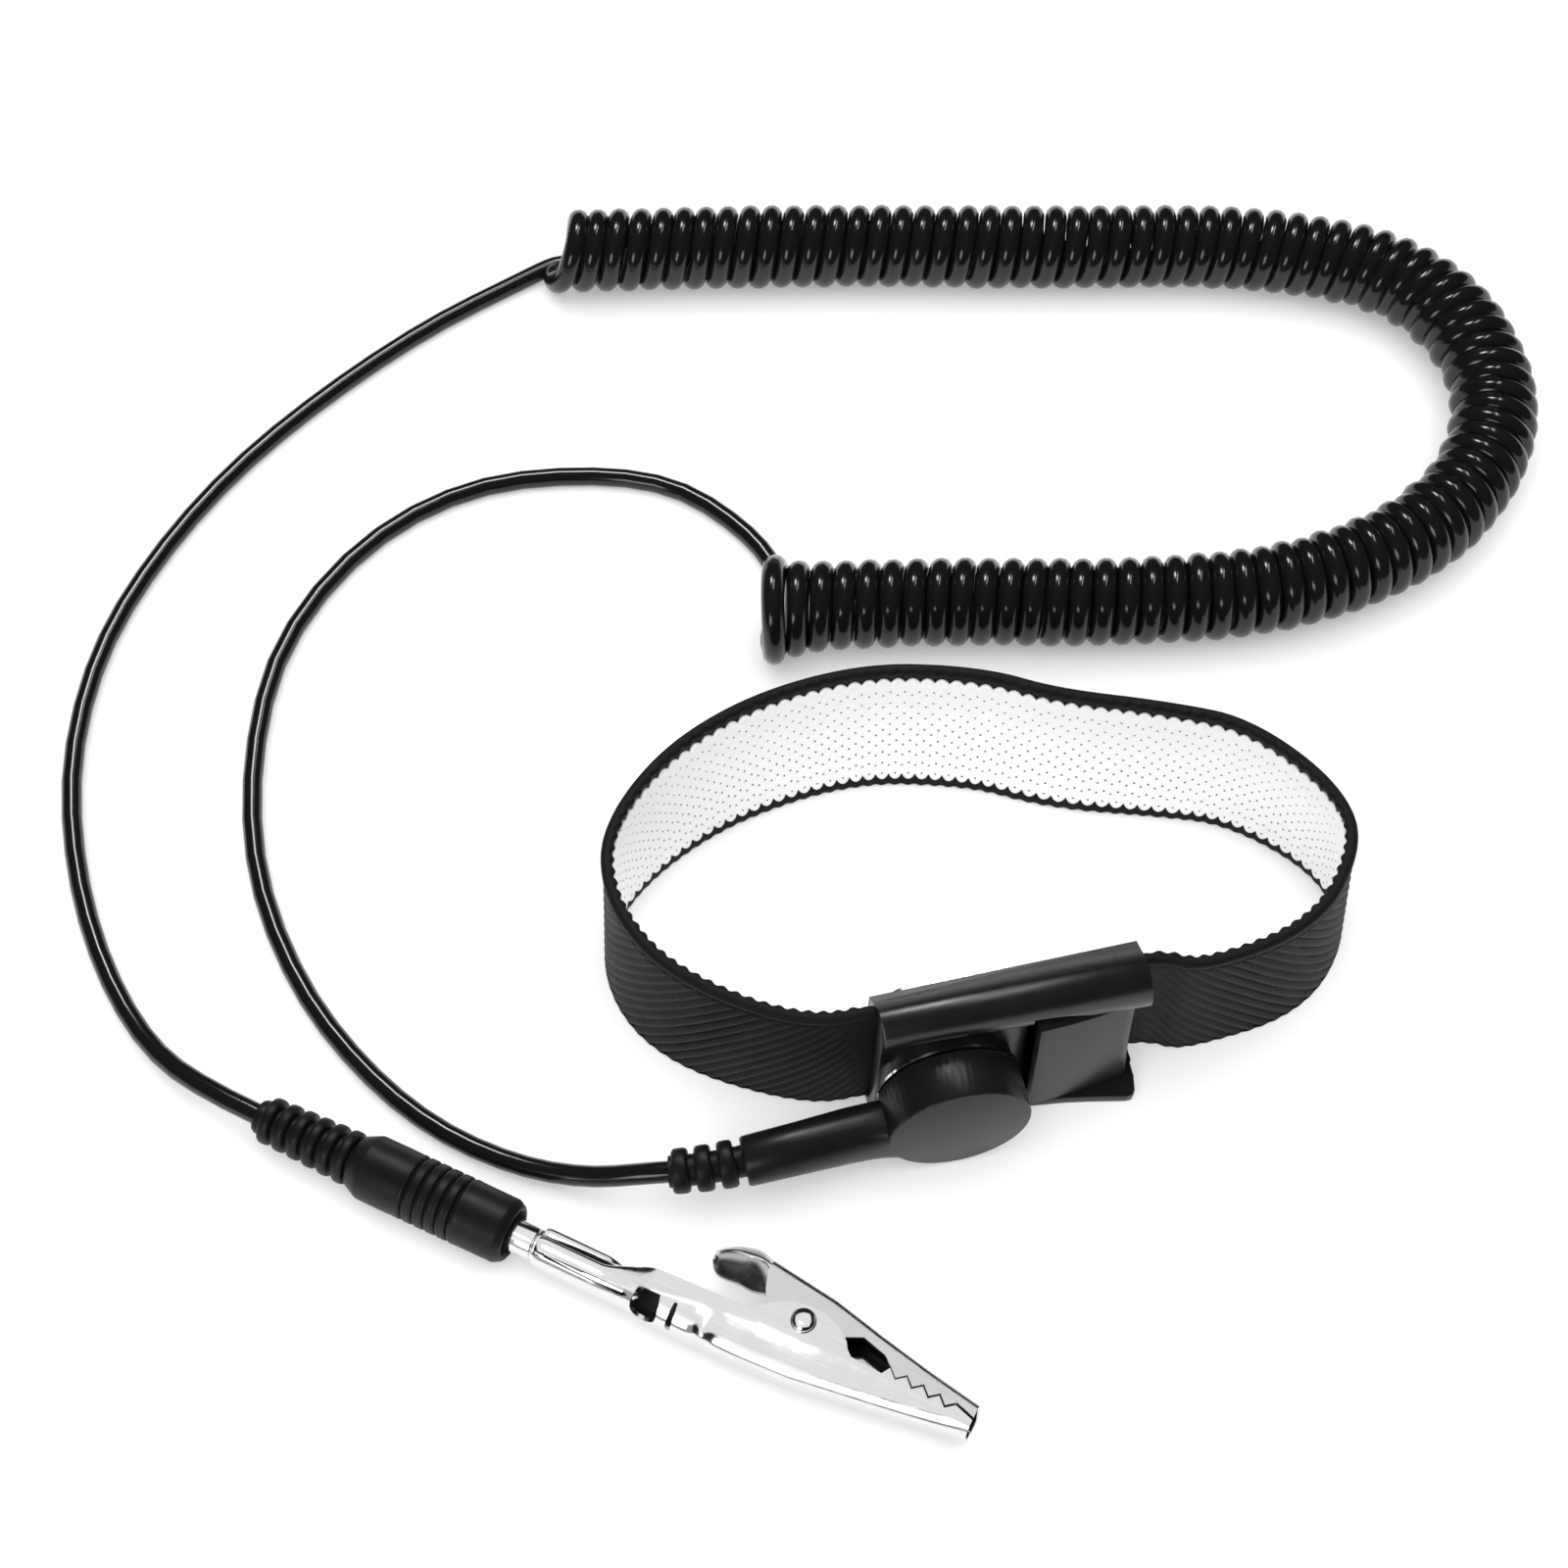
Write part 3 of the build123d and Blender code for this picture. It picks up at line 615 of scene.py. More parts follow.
def make_band():
    """The elastic band: diagonal ribs outside, smooth rolled rims and small scallops where knit meets rim."""
    count = 860
    wall = loop_line(count)
    stations, length = wall[2:]
    turns = round(length / RIB_PITCH)
    phase = stations / length * turns
    side = np.sin(2 * math.pi * stations / length)
    rising = np.clip(0.5 - 1.6 * side, 0.06, 1.0)
    falling = np.clip(0.5 + 1.6 * side, 0.06, 1.0)
    in_the_open = smooth_step(np.minimum(stations, length - stations), 15.5, 17.5)
    scallop = (0.5 + 0.5 * np.cos(2 * math.pi * phase)) * in_the_open
    top = [(-0.5, 19.2), (-0.12, 19.32), (0.1, 19.6), (0.14, 19.9), (0.05, 20.2), (-0.1, 20.4)]
    top += [(-0.4, 20.5), (-0.8, 20.5), (-1.1, 20.35), (-1.22, 20.0)]
    bottom = [(-1.22, 0.5), (-1.1, 0.15), (-0.8, 0.0), (-0.4, 0.0), (-0.2, 0.12), (-0.12, 0.3)]
    rows = []
    for z in np.linspace(0.55, BAND_HEIGHT - 1.4, 69):
        up = 2 * math.pi * z / RIB_RISE
        one = np.abs(np.cos((2 * math.pi * phase - up) / 2)) ** 0.6
        two = np.abs(np.cos((2 * math.pi * phase + up) / 2)) ** 0.6
        edge = min(1.0, (z - 0.2) / 0.6, (BAND_HEIGHT - 1.2 - z) / 0.8)
        relief = 0.15 + 0.3 * smooth_step(np.minimum(stations, length - stations), 17, 30)
        ribs = relief * (rising * one + falling * two) / (rising + falling) * max(edge, 0)
        out = -0.5 + ribs + 0.3 - relief * 0.7
        rows.append(wall_point(wall, out, np.full(count, z)))
    for out, z in top:
        ripple = 0.32 * scallop if out < -0.7 else 0 * scallop
        rows.append(wall_point(wall, out - ripple, np.full(count, z)))
    for z in np.linspace(19.0, 1.5, 8):
        rows.append(wall_point(wall, np.full(count, -1.0), np.full(count, z)))
    for out, z in bottom:
        rows.append(wall_point(wall, np.full(count, out), z + 0.28 * scallop))
    band = new_object("elastic_band_knit", np.concatenate(rows), grid_faces(len(rows), count, True, True))
    dress(band, "wristband", band_material(), ["elastic_band"], sharp=0)
    return band


def make_lining():
    """The conductive knit inside the band, with scalloped edges and rows of needle holes."""
    count = 2 * round(loop_line(10)[3] / RIB_PITCH) * 3
    wall = loop_line(count)
    stations, length = wall[2:]
    wave = count // 6
    phase = stations / length * wave
    scallop = np.abs(np.sin(math.pi * phase)) ** 0.8
    low = 2.35 - 0.8 * scallop
    high = BAND_HEIGHT - 2.1 + 0.7 * scallop
    levels = 52
    rows = []
    for j in range(levels + 1):
        t = j / levels
        height = low + (high - low) * t
        level = j * (BAND_HEIGHT - 3.4) / levels
        nearest = np.round(level / ROW_RISE)
        shift = 0.5 * (nearest % 2)
        across = (phase + shift + 0.5) % 1.0 - 0.5
        near = np.exp(-((across * RIB_PITCH / 0.2) ** 2) - ((level - nearest * ROW_RISE) / 0.16) ** 2)
        pillow = 0.05 * np.cos(2 * math.pi * (phase + shift))
        out = -1.3 - 0.1 * min(1.0, 8 * t, 8 * (1 - t)) + 0.14 * near + pillow * 0.4
        rows.append(wall_point(wall, out, height))
    for j in (levels, 0):
        height = low if j == 0 else high
        rows.append(wall_point(wall, np.full(count, -0.98), height))
    faces = grid_faces(len(rows), count, True, True)
    lining = new_object("conductive_knit_lining", np.concatenate(rows), faces)
    layer = lining.data.uv_layers.new(name="knit")
    place = np.zeros((len(rows) * count, 2))
    for j in range(len(rows)):
        t = min(j, levels) / levels
        place[j * count:(j + 1) * count, 0] = phase
        place[j * count:(j + 1) * count, 1] = t * (BAND_HEIGHT - 3.4) / (2 * ROW_RISE)
    loops = np.zeros(len(lining.data.loops), dtype=np.int32)
    lining.data.loops.foreach_get("vertex_index", loops)
    spots = place[loops]
    for polygon in lining.data.polygons:
        ring = list(polygon.loop_indices)
        if spots[ring, 0].max() - spots[ring, 0].min() > wave / 2:
            for k in ring:
                if spots[k, 0] < wave / 2:
                    spots[k, 0] += wave
    layer.data.foreach_set("uv", spots.astype(np.float32).ravel())
    dress(lining, "wristband", lining_material(), ["conductive_lining"], sharp=0)
    return lining


def band_material():
    """Black synthetic knit: yarn-scale grain, a soft sheen and a faint colour drift."""
    material = moulded("elastic_knit", (0.0042, 0.0042, 0.0045), 0.6, 4200.0, 0.04)
    shader = nodes_of(material)[1]
    set_inputs(shader, {"Sheen Weight": 0.03, "Sheen Roughness": 0.4, "Specular IOR Level": 0.16})
    return material


def lining_material():
    """Silver-white knit with a small dark needle hole at each stitch crossing."""
    material = new_material("conductive_knit", (0.8, 0.8, 0.81), 0.55)
    tree, shader = nodes_of(material)
    shader.inputs["Sheen Weight"].default_value = 0.2
    knit = tree.nodes.new("ShaderNodeUVMap")
    knit.uv_map = "knit"
    parts = tree.nodes.new("ShaderNodeSeparateXYZ")
    tree.links.new(knit.outputs["UV"], parts.inputs["Vector"])

    def math_node(operation, first, second=None):
        node = tree.nodes.new("ShaderNodeMath")
        node.operation = operation
        for socket, value in zip(node.inputs, (first, second)):
            if value is None:
                continue
            if isinstance(value, (int, float)):
                socket.default_value = value
            else:
                tree.links.new(value, socket)
        return node.outputs["Value"]

    def hole(shift):
        """Distance in millimetres to the nearest hole of one of the two sets of rows."""
        across, rise = (
            math_node("MULTIPLY", math_node("SUBTRACT", math_node("FRACT", shifted), 0.5), pitch)
            for shifted, pitch in (
                (math_node("ADD", parts.outputs["X"], 0.5 + shift), RIB_PITCH),
                (math_node("ADD", parts.outputs["Y"], 0.5 + shift), 2 * ROW_RISE),
            )
        )
        squares = [math_node("MULTIPLY", side, side) for side in (across, rise)]
        return math_node("SQRT", math_node("ADD", *squares))

    nearest = math_node("MINIMUM", hole(0.0), hole(0.5))
    from_middle = math_node("ABSOLUTE", math_node("SUBTRACT", parts.outputs["Y"], 4.4))
    middle = math_node("LESS_THAN", from_middle, 4.0)
    dark = math_node("MULTIPLY", middle, add_ramp(tree, nearest, ((0.11, 1.0), (0.17, 0.0))))
    noise = add_noise(tree, 3800.0, 3.0)
    shade = add_mix(tree, noise.outputs["Fac"], (0.88, 0.88, 0.885), (0.96, 0.96, 0.965))
    holes = tree.nodes.new("ShaderNodeMix")
    holes.data_type = "RGBA"
    holes.inputs["B"].default_value = (0.03, 0.03, 0.03, 1)
    tree.links.new(dark, holes.inputs["Factor"])
    tree.links.new(shade.outputs["Result"], holes.inputs["A"])
    tree.links.new(holes.outputs["Result"], shader.inputs["Base Color"])
    add_bump(tree, shader, noise.outputs["Fac"], 0.4, 0.08)
    return material


# ---------------------------------------------------------------- buckle
BUCKLE_LEFT = -14.75
BUCKLE_RIGHT = 16.0
FRONT_FACE = -2.4
FRONT_INNER = -0.62
BACK_INNER = 1.62
BACK_FACE = 2.6
LIP = 1.3
POCKET_LEFT = 2.3
POCKET_TOP = 17.4
BOSS_RADIUS = 8.0
BOSS_FACE = -4.3


def buckle_section(x):
    """The buckle's outline across its length: back plate, tapering roll and front plate."""
    t = (x - BUCKLE_LEFT) / (BUCKLE_RIGHT - BUCKLE_LEFT)
    centre = np.array([-1.1 - 0.4 * t, 19.74 + 0.32 * t])
    radius = 2.7 + 0.6 * t
    outline = [(BACK_FACE, 0.3), (BACK_FACE, 20.1 + 1.1 * t), (1.25 + 1.35 * t, 21.15 + 0.35 * t)]
    for angle in np.linspace(math.radians(79), math.radians(218), 40):
        outline.append(tuple(centre + radius * np.array([math.cos(angle), math.sin(angle)])))
    under = outline[-1]
    for k in range(1, 7):
        s = k / 6
        outline.append(((1 - s) ** 2 * under[0] + (1 - (1 - s) ** 2) * FRONT_FACE, under[1] - 1.7 * s ** 1.6))
    outline += [(FRONT_FACE, 0.3), (FRONT_FACE + 0.3, 0), (BACK_FACE - 0.3, 0)]
    section = np.array([(x, y, z) for y, z in outline])
    if x == BUCKLE_LEFT:
        section[:, 0] -= 0.09 * (section[:, 1] + 3.8) + 0.05 * np.clip(16 - section[:, 2], 0, None)
    return section


def plate_prism(name, outline, low, high, to_row):
    """A prism between two heights over a plan outline, in local millimetres."""
    return lofted(name, [np.array([(x, y, z) for x, y in outline]) for z in (low, high)], to_row)


def snap_turned(profile, steps=96):
    """A solid turned about the snap's axis, from (distance out of the front, radius) pairs."""
    points, faces = turned(profile, steps)
    return along_axis(points, buckle_point(SNAP_X, 0, SNAP_Z), -buckle_y), faces


def make_buckle():
    """The moulded buckle: one roll-topped clip with a channel for the band and a pocket for the lever."""
    stations = (BUCKLE_LEFT, BUCKLE_RIGHT)
    body = lofted("buckle_moulding", [buckle_section(x) for x in stations], on_buckle)
    points, faces = snap_turned([(0.7, BOSS_RADIUS), (-BOSS_FACE, BOSS_RADIUS)])
    boss = new_object("boss", points, faces)
    for left, right, top in ((-20, 20, 0.3), (POCKET_LEFT - 0.02, 20, 20), (-20, BUCKLE_LEFT - 0.3, 20)):
        combined(boss, box_object("trim", (left, -6, -2), (right, 3, top), on_buckle), "DIFFERENCE")
    combined(body, boss, "UNION")
    ledge_outline = [
        (POCKET_LEFT - 1, FRONT_INNER - 0.1),
        (POCKET_LEFT - 1, -2.6),
        (3.0, -5.2),
        (7.3, -5.7),
        (9.8, -6.1),
        (14.2, -6.95),
        (14.9, -6.9),
        (15.35, -6.4),
        (15.75, -4.5),
        (15.8, FRONT_INNER - 0.1),
    ]
    pocket = box_object("pocket", (POCKET_LEFT, -8, LIP), (20, FRONT_INNER - 0.01, POCKET_TOP), on_buckle)
    combined(body, pocket, "DIFFERENCE")
    low, high = (POCKET_LEFT + 0.01, -4.25, LIP + 1), (15.2, FRONT_INNER - 0.02, 19.0)
    recess = box_object("recess", low, high, on_buckle)
    combined(body, recess, "DIFFERENCE")
    arch = [(POCKET_LEFT, POCKET_TOP - 1)]
    for x in np.linspace(POCKET_LEFT, 10.4, 16):
        arch.append((x, 17.3 + 2.9 * math.sqrt(1 - min(1.0, max(0.0, (x - 4.0) / 6.4)) ** 2)))
    arch.append((10.4, POCKET_TOP - 1))
    rings = [np.array([(x, y, z) for x, z in arch]) for y in (-8, FRONT_INNER - 0.01)]
    combined(body, lofted("arch", rings, on_buckle), "DIFFERENCE")
    rings = []
    for x, back, top in ((-17, 19.4, 20.45), (17, 20.7, 21.05)):
        corners = [(FRONT_INNER, 1.0), (BACK_INNER, 1.0), (BACK_INNER, back), (0.9, top), (FRONT_INNER, top)]
        rings.append(np.array([(x, y, z) for y, z in corners]))
    combined(body, lofted("channel", rings, on_buckle), "DIFFERENCE")
    combined(body, plate_prism("ledge", ledge_outline, 0, LIP, on_buckle), "UNION")
    bevelled(body, 0.28, 3, 42)
    applied(body)
    plastic = moulded("buckle_plastic", (0.006, 0.006, 0.0062), 0.3, gloss=0.5)
    return dress(body, "wristband", plastic, ["buckle_body"], sharp=50)


def make_lever():
    """The clamp lever: a thin plate that stands proud at its free end, on a hinge barrel."""
    rows = []
    steps = 13
    ends = ((1.5, 1.5, (2.6, -5.7), (14.6, -4.3)), (17.0, 18.4, (3.3, -4.35), (14.1, -3.8)))
    for low, high, left, right in ends:
        front = []
        back = []
        for k in range(steps):
            t = k / (steps - 1)
            x = left[0] + (right[0] - left[0]) * t
            y = left[1] + (right[1] - left[1]) * t - 0.22 * math.sin(math.pi * t)
            z = low + (high - low) * t
            front.append((x, y, z))
            back.append((x, y + 1.5, z))
        rows.append(np.array(front + back[::-1]))
    lever = lofted("clamp_lever_plate", rows, on_buckle)
    barrel = rounded([(1.55, 0.6), (1.55, 1.55), (16.9, 1.55), (16.9, 0.6)], 0.2)
    hinge = revolved("hinge", barrel, 40, buckle_point(13.0, -2.25, 0), UP, buckle_x)
    combined(lever, hinge, "UNION")
    bevelled(lever, 0.16, 3, 40)
    applied(lever)
    plastic = moulded("lever_plastic", (0.012, 0.012, 0.0123), 0.38, gloss=0.6)
    return dress(lever, "clamp_lever", plastic, ["cam_lever"], sharp=50)


# ---------------------------------------------------------------- snap head on the cord
HEAD_RADIUS = 8.45
HEAD_BACK = 4.75
HEAD_FACE = 10.6
stem_table = [  # along it from the snap's axis, half height, half depth, middle's depth, its drop, squareness
    (2.0, 4.6, 2.6, 8.0, 0.4, 0.3),
    (5.6, 4.6, 2.65, 7.9, 0.6, 0.3),
    (6.6, 4.5, 2.7, 7.9, 0.8, 0.35),
    (7.2, 4.2, 2.75, 7.85, 0.95, 0.4),
    (7.9, 3.8, 2.8, 7.8, 1.1, 0.5),
    (8.7, 3.55, 2.9, 7.7, 1.2, 0.6),
    (10.0, 3.45, 3.0, 7.6, 1.25, 0.75),
    (12.7, 3.35, 3.05, 7.6, 1.15, 0.85),
    (18.0, 3.2, 3.0, 7.9, 0.8, 0.95),
    (24.6, 3.0, 2.95, 8.2, 0.35, 1.0),
    (25.0, 2.8, 2.75, 8.2, 0.35, 1.0),
]


def make_snap_head():
    """The snap head: a round moulding over the socket, with a stem that runs out flush with its face."""
    profile = [(HEAD_BACK, 6.3), (HEAD_BACK, HEAD_RADIUS - 0.15), (HEAD_BACK + 0.15, HEAD_RADIUS)]
    profile += [(HEAD_FACE - 0.3, HEAD_RADIUS), (HEAD_FACE - 0.09, HEAD_RADIUS - 0.09)]
    profile += [(HEAD_FACE, HEAD_RADIUS - 0.3), (HEAD_FACE, 0.01)]
    points, faces = snap_turned(profile, 128)
    head = new_object("snap_head_moulding", points, faces)
    rings = []
    turn = np.linspace(0, 2 * math.pi, 48, endpoint=False)
    for along, tall, deep, middle, drop, square in stem_table:
        reach = np.where(np.sin(turn) > 0, min(tall, 3.2), tall)
        tall_part = np.sign(np.sin(turn)) * np.abs(np.sin(turn)) ** square * reach
        deep_part = np.sign(np.cos(turn)) * np.abs(np.cos(turn)) ** square * deep
        spine = buckle_point(SNAP_X, -middle, SNAP_Z - drop) + stem_x * along
        ring = np.array(spine) + deep_part[:, None] * np.array(-buckle_y)
        rings.append(ring + tall_part[:, None] * np.array(stem_up))
    points, faces = loft(rings)
    combined(head, new_object("stem", points, faces), "UNION")
    bevelled(head, 0.14, 2, 40)
    applied(head)
    plastic = moulded("snap_plastic", (0.006, 0.006, 0.0062), 0.32, gloss=0.27)
    return dress(head, "cord_set", plastic, ["snap_head"], sharp=50)


def ring_profile(first, pitch, count, width, root, near, far, valley=0.0):
    """A boot's outline: rounded rings on a core, from one end to the other."""
    profile = []
    for i in range(count):
        middle = first + pitch * i
        top = near + (far - near) * i / (count - 1)
        core = root + valley * i
        profile.append((middle - pitch / 2, core))
        for k in range(9):
            angle = math.pi * (1 - k / 8)
            blunt = np.sign(math.cos(angle)) * abs(math.cos(angle)) ** 0.6
            swell = math.sin(angle) ** 0.45 if 0 < k < 8 else 0
            profile.append((middle + width / 2 * blunt, core + (top - core) * swell))
    profile.append((first + pitch * (count - 0.5), root + valley * (count - 1)))
    return profile


def make_wrist_boot():
    """The strain relief on the snap head: three thick rings on a narrow core."""
    boot_end = STEM_END + BOOT_LENGTH
    profile = [(24.6, 0.5), (24.6, 1.9)] + ring_profile(26.95, 2.7, 3, 1.95, 1.85, 2.8, 2.65)
    profile += [(boot_end, 1.7), (boot_end, 1.2)]
    points, faces = turned(profile, 56)
    rings = points.reshape(-1, 56, 3)
    for ring in rings:
        place, heading = boot_line(ring[0, 0])
        ring[:, 0] = 0
        ring[:] = along_axis(ring, place, heading)
    boot = new_object("wrist_boot_rings", rings.reshape(-1, 3), faces)
    return dress(boot, "cord_set", rubber, ["wrist_boot"], sharp=60)


# ---------------------------------------------------------------- banana plug
def make_banana_boot():
    """The strain relief on the plug's handle: six soft rings that grow towards it."""
    profile = [(-34.0, 1.3), (-34.0, 1.9), (-33.6, 2.1)]
    profile += ring_profile(-32.2, 2.06, 6, 1.4, 2.05, 2.85, 3.25, 0.07)
    profile += [(-20.4, 2.4), (-19.6, 1.0)]
    boot = revolved("banana_boot_rings", profile, 64, CLIP_ORIGIN, clip_x)
    return dress(boot, "cord_set", rubber, ["banana_boot"], sharp=60)


def make_handle():
    """The plug's rubber handle: a shouldered grip with five grooves and a hollow front end."""
    profile = [(-20.9, 1.0), (-20.9, 3.05), (-19.0, 3.95), (-15.5, 3.97)]
    for i in range(5):
        groove = -12.9 + 1.5 * i
        profile += [(groove - 0.85, 3.92), (groove - 0.45, 3.98), (groove - 0.14, 3.86)]
        profile += [(groove - 0.08, 3.55), (groove + 0.08, 3.55), (groove + 0.14, 3.86)]
        profile += [(groove + 0.45, 3.98)]
    profile += [(-5.9, 3.92), (-3.0, 3.9), (-1.1, 3.9), (-0.25, 3.45), (-0.05, 3.1), (-0.3, 2.8)]
    profile += [(-1.6, 2.45), (-1.6, 1.0)]
    handle = revolved("banana_handle_grip", rounded(profile, 0.16, 2), 96, CLIP_ORIGIN, clip_x)
    return dress(handle, "cord_set", rubber, ["banana_handle"], sharp=60)


def make_collar():
    """The plug's nickel collar and pin."""
    profile = [(-1.7, 0.6), (-1.7, 1.95), (2.75, 1.95), (2.85, 1.8), (3.0, 1.95), (3.35, 1.95)]
    profile += [(3.35, 1.6), (15.8, 1.6), (16.5, 0.9)]
    collar = revolved("banana_plug_pin", rounded(profile, 0.12, 2), 72, CLIP_ORIGIN, clip_x)
    return dress(collar, "cord_set", nickel, ["banana_pin"], sharp=40)


# ---------------------------------------------------------------- crocodile clip
SHEET = 0.5
CHEEK_STEPS, TURN_STEPS, WEB_STEPS = 9, 12, 17
RIVET_X, RIVET_Y = 34.8, 4.0
web_line = [(3.0, -2.45), (15.5, -2.5), (20.0, -2.7), (29.0, -2.65), (36.0, -2.3), (46.0, -0.85), (56.2, 0.6)]
fold_line = [(15.5, -0.8), (20.0, 0.15), (24.0, 0.95), (30.6, 1.85), (39.9, 2.3), (47.2, 2.1), (56.2, 1.45)]
lower_edge = [(3.0, 2.4), (19.0, 2.4), (28.0, 2.7), (29.5, 3.4), (31.0, 4.7), (32.6, 5.5), (34.6, 5.9)]
lower_edge += [(36.8, 5.75), (38.7, 5.1), (40.1, 4.0), (40.6, 3.2), (41.3, 2.6), (45.1, 2.45)]
upper_edge = [(28.6, 7.6), (29.3, 5.6), (30.6, 3.4), (32.0, 2.4), (36.8, 1.9), (39.0, 3.2)]
upper_edge += [(39.8, 4.4), (41.6, 5.3), (44.6, 4.5)]
back_line = [(28.6, 8.85), (36.8, 7.7), (43.5, 6.2), (50.0, 4.9), (56.2, 3.85)]


def tooth_line(lift):
    """The zigzag where the jaws meet."""
    points = []
    for i in range(5):
        x = 45.7 + 2.05 * i
        y = 3.05 - 0.06 * (x - 45.7) + lift
        points += [(x, y + 0.5), (x + 1.02, y - 0.5)]
    return points[:-1] + [(56.2, points[-1][1] + 0.3)]


def at_x(line, x):
    xs, ys = zip(*line)
    return np.interp(x, xs, ys)


def stations_of(start, end, step, *lines):
    """Even stations along the clip with the corners of its edges among them."""
    corners = [x for line in lines for x, _ in line if start < x < end]
    even = [x for x in np.arange(start, end, step) if min(abs(x - c) for c in corners + [end]) > step * 0.4]
    return sorted(set([start, *corners, *even, end]))


def open_sheet(name, points, faces):
    """A sheet with no thickness yet, from points in the clip's own plane."""
    mesh = bpy.data.meshes.new(name)
    mesh.from_pydata((on_clip(points) * MM).tolist(), [], faces)
    return linked(name, mesh)


def thickened(piece, offset):
    solid = piece.modifiers.new("sheet", "SOLIDIFY")
    solid.thickness = SHEET * MM
    solid.offset = offset
    return solid


def folded_sheet(name, stations, section):
    """A sheet-metal piece skinned over open sections, given thickness on its inner side."""
    rows = np.array([section(x) for x in stations])
    piece = open_sheet(name, rows.reshape(-1, 3), grid_faces(len(rows), rows.shape[1]))
    solid = thickened(piece, -1)
    solid.use_even_offset = False
    applied(piece)
    face_outwards(piece.data)
    return piece


def channel_section(x, web, edge, half, fold, corner, crease=0.0):
    """Points across an open channel: free edge, fold, web, fold, free edge, as (x, y, z)."""
    points = []
    for k in range(CHEEK_STEPS):
        t = k / CHEEK_STEPS
        points.append((x, edge + (fold - edge) * t, half))
    for k in range(TURN_STEPS):
        angle = crease + (math.pi / 2 - crease) * k / TURN_STEPS
        forward = (1 - math.sin(angle)) / (1 - math.sin(crease))
        down = 1 - math.cos(angle) / math.cos(crease)
        points.append((x, web + (fold - web) * forward, half - corner * down))
    for k in range(WEB_STEPS):
        t = k / (WEB_STEPS - 1)
        points.append((x, web, (half - corner) * (1 - 2 * t)))
    mirror = [(px, py, -pz) for px, py, pz in points[:CHEEK_STEPS + TURN_STEPS]]
    return np.array(points + mirror[::-1])


def half_width(x, base, tip):
    return base if x < 38 else base + (tip - base) * (x - 38) / 19.2


CREASE = math.radians(50)
DIMPLE_X, DIMPLE_Z = 25.1, 2.3


def lower_section(x):
    """The fixed jaw's section: a rolled barrel at the back that opens into a channel."""
    half = half_width(x, 3.5, 2.2)
    corner = 0.74 * half
    web, edge, fold = at_x(web_line, x), at_x(lower_line, x), at_x(fold_line, x)
    channel = channel_section(x, web, edge, half, fold, corner, CREASE)
    for point in channel[CHEEK_STEPS:CHEEK_STEPS + TURN_STEPS + WEB_STEPS]:
        away = ((x - DIMPLE_X) / 1.0) ** 2 + ((point[2] - DIMPLE_Z) / 0.85) ** 2
        point += np.array([0, -0.45, 0.3]) * math.exp(-away)
    if x >= 18.5:
        return channel
    count = len(channel)
    blend = smooth_step(x, 11.0, 18.5)
    seam = math.radians(58) * (1 - blend)
    tube = []
    for k in range(count):
        s = k / (count - 1)
        angle = seam + math.radians(7) + (2 * math.pi - math.radians(14)) * s
        inward = max(0.0, 1 - min(s, 1 - s) / 0.06)
        radius = 2.45 - 0.75 * inward ** 2
        tube.append((x, radius * math.cos(angle), radius * math.sin(angle)))
    tube = np.array(tube)
    lip = max(0.0, (4.0 - x) / 0.6)
    tube[:, 1:] *= 1 - 0.06 * lip ** 2
    mixed = tube * (1 - blend) + channel * blend
    mixed[:, 0] = x
    return mixed


def upper_section(x):
    """The moving jaw's section: a channel that opens towards the fixed jaw, inside its cheeks."""
    back = at_x(back_line, x)
    return channel_section(x, back, at_x(upper_line, x), half_width(x, 2.9, 2.1), back - 0.6, 0.6)


lower_line = lower_edge + tooth_line(-0.1)
upper_line = upper_edge + tooth_line(0.12)


BARREL_SLOT = math.radians(36)


def paint_inside_shade(jaw):
    """Gives the inner faces of a folded jaw a near-black, rough copy of the plate: painted shade for the dark
    inside of the folds.
    """
    jaw.data.materials.append(inside_painted_shade)
    for face in jaw.data.polygons:
        spot = face.center / MM - CLIP_ORIGIN
        along = spot.dot(clip_x)
        middle = 0.0 if along < 15 else 1.6 if along < 45 else 2.9
        inward = clip_y * middle + clip_x * along - spot
        if face.normal.dot(inward.normalized()) > 0.35:
            face.material_index = 1


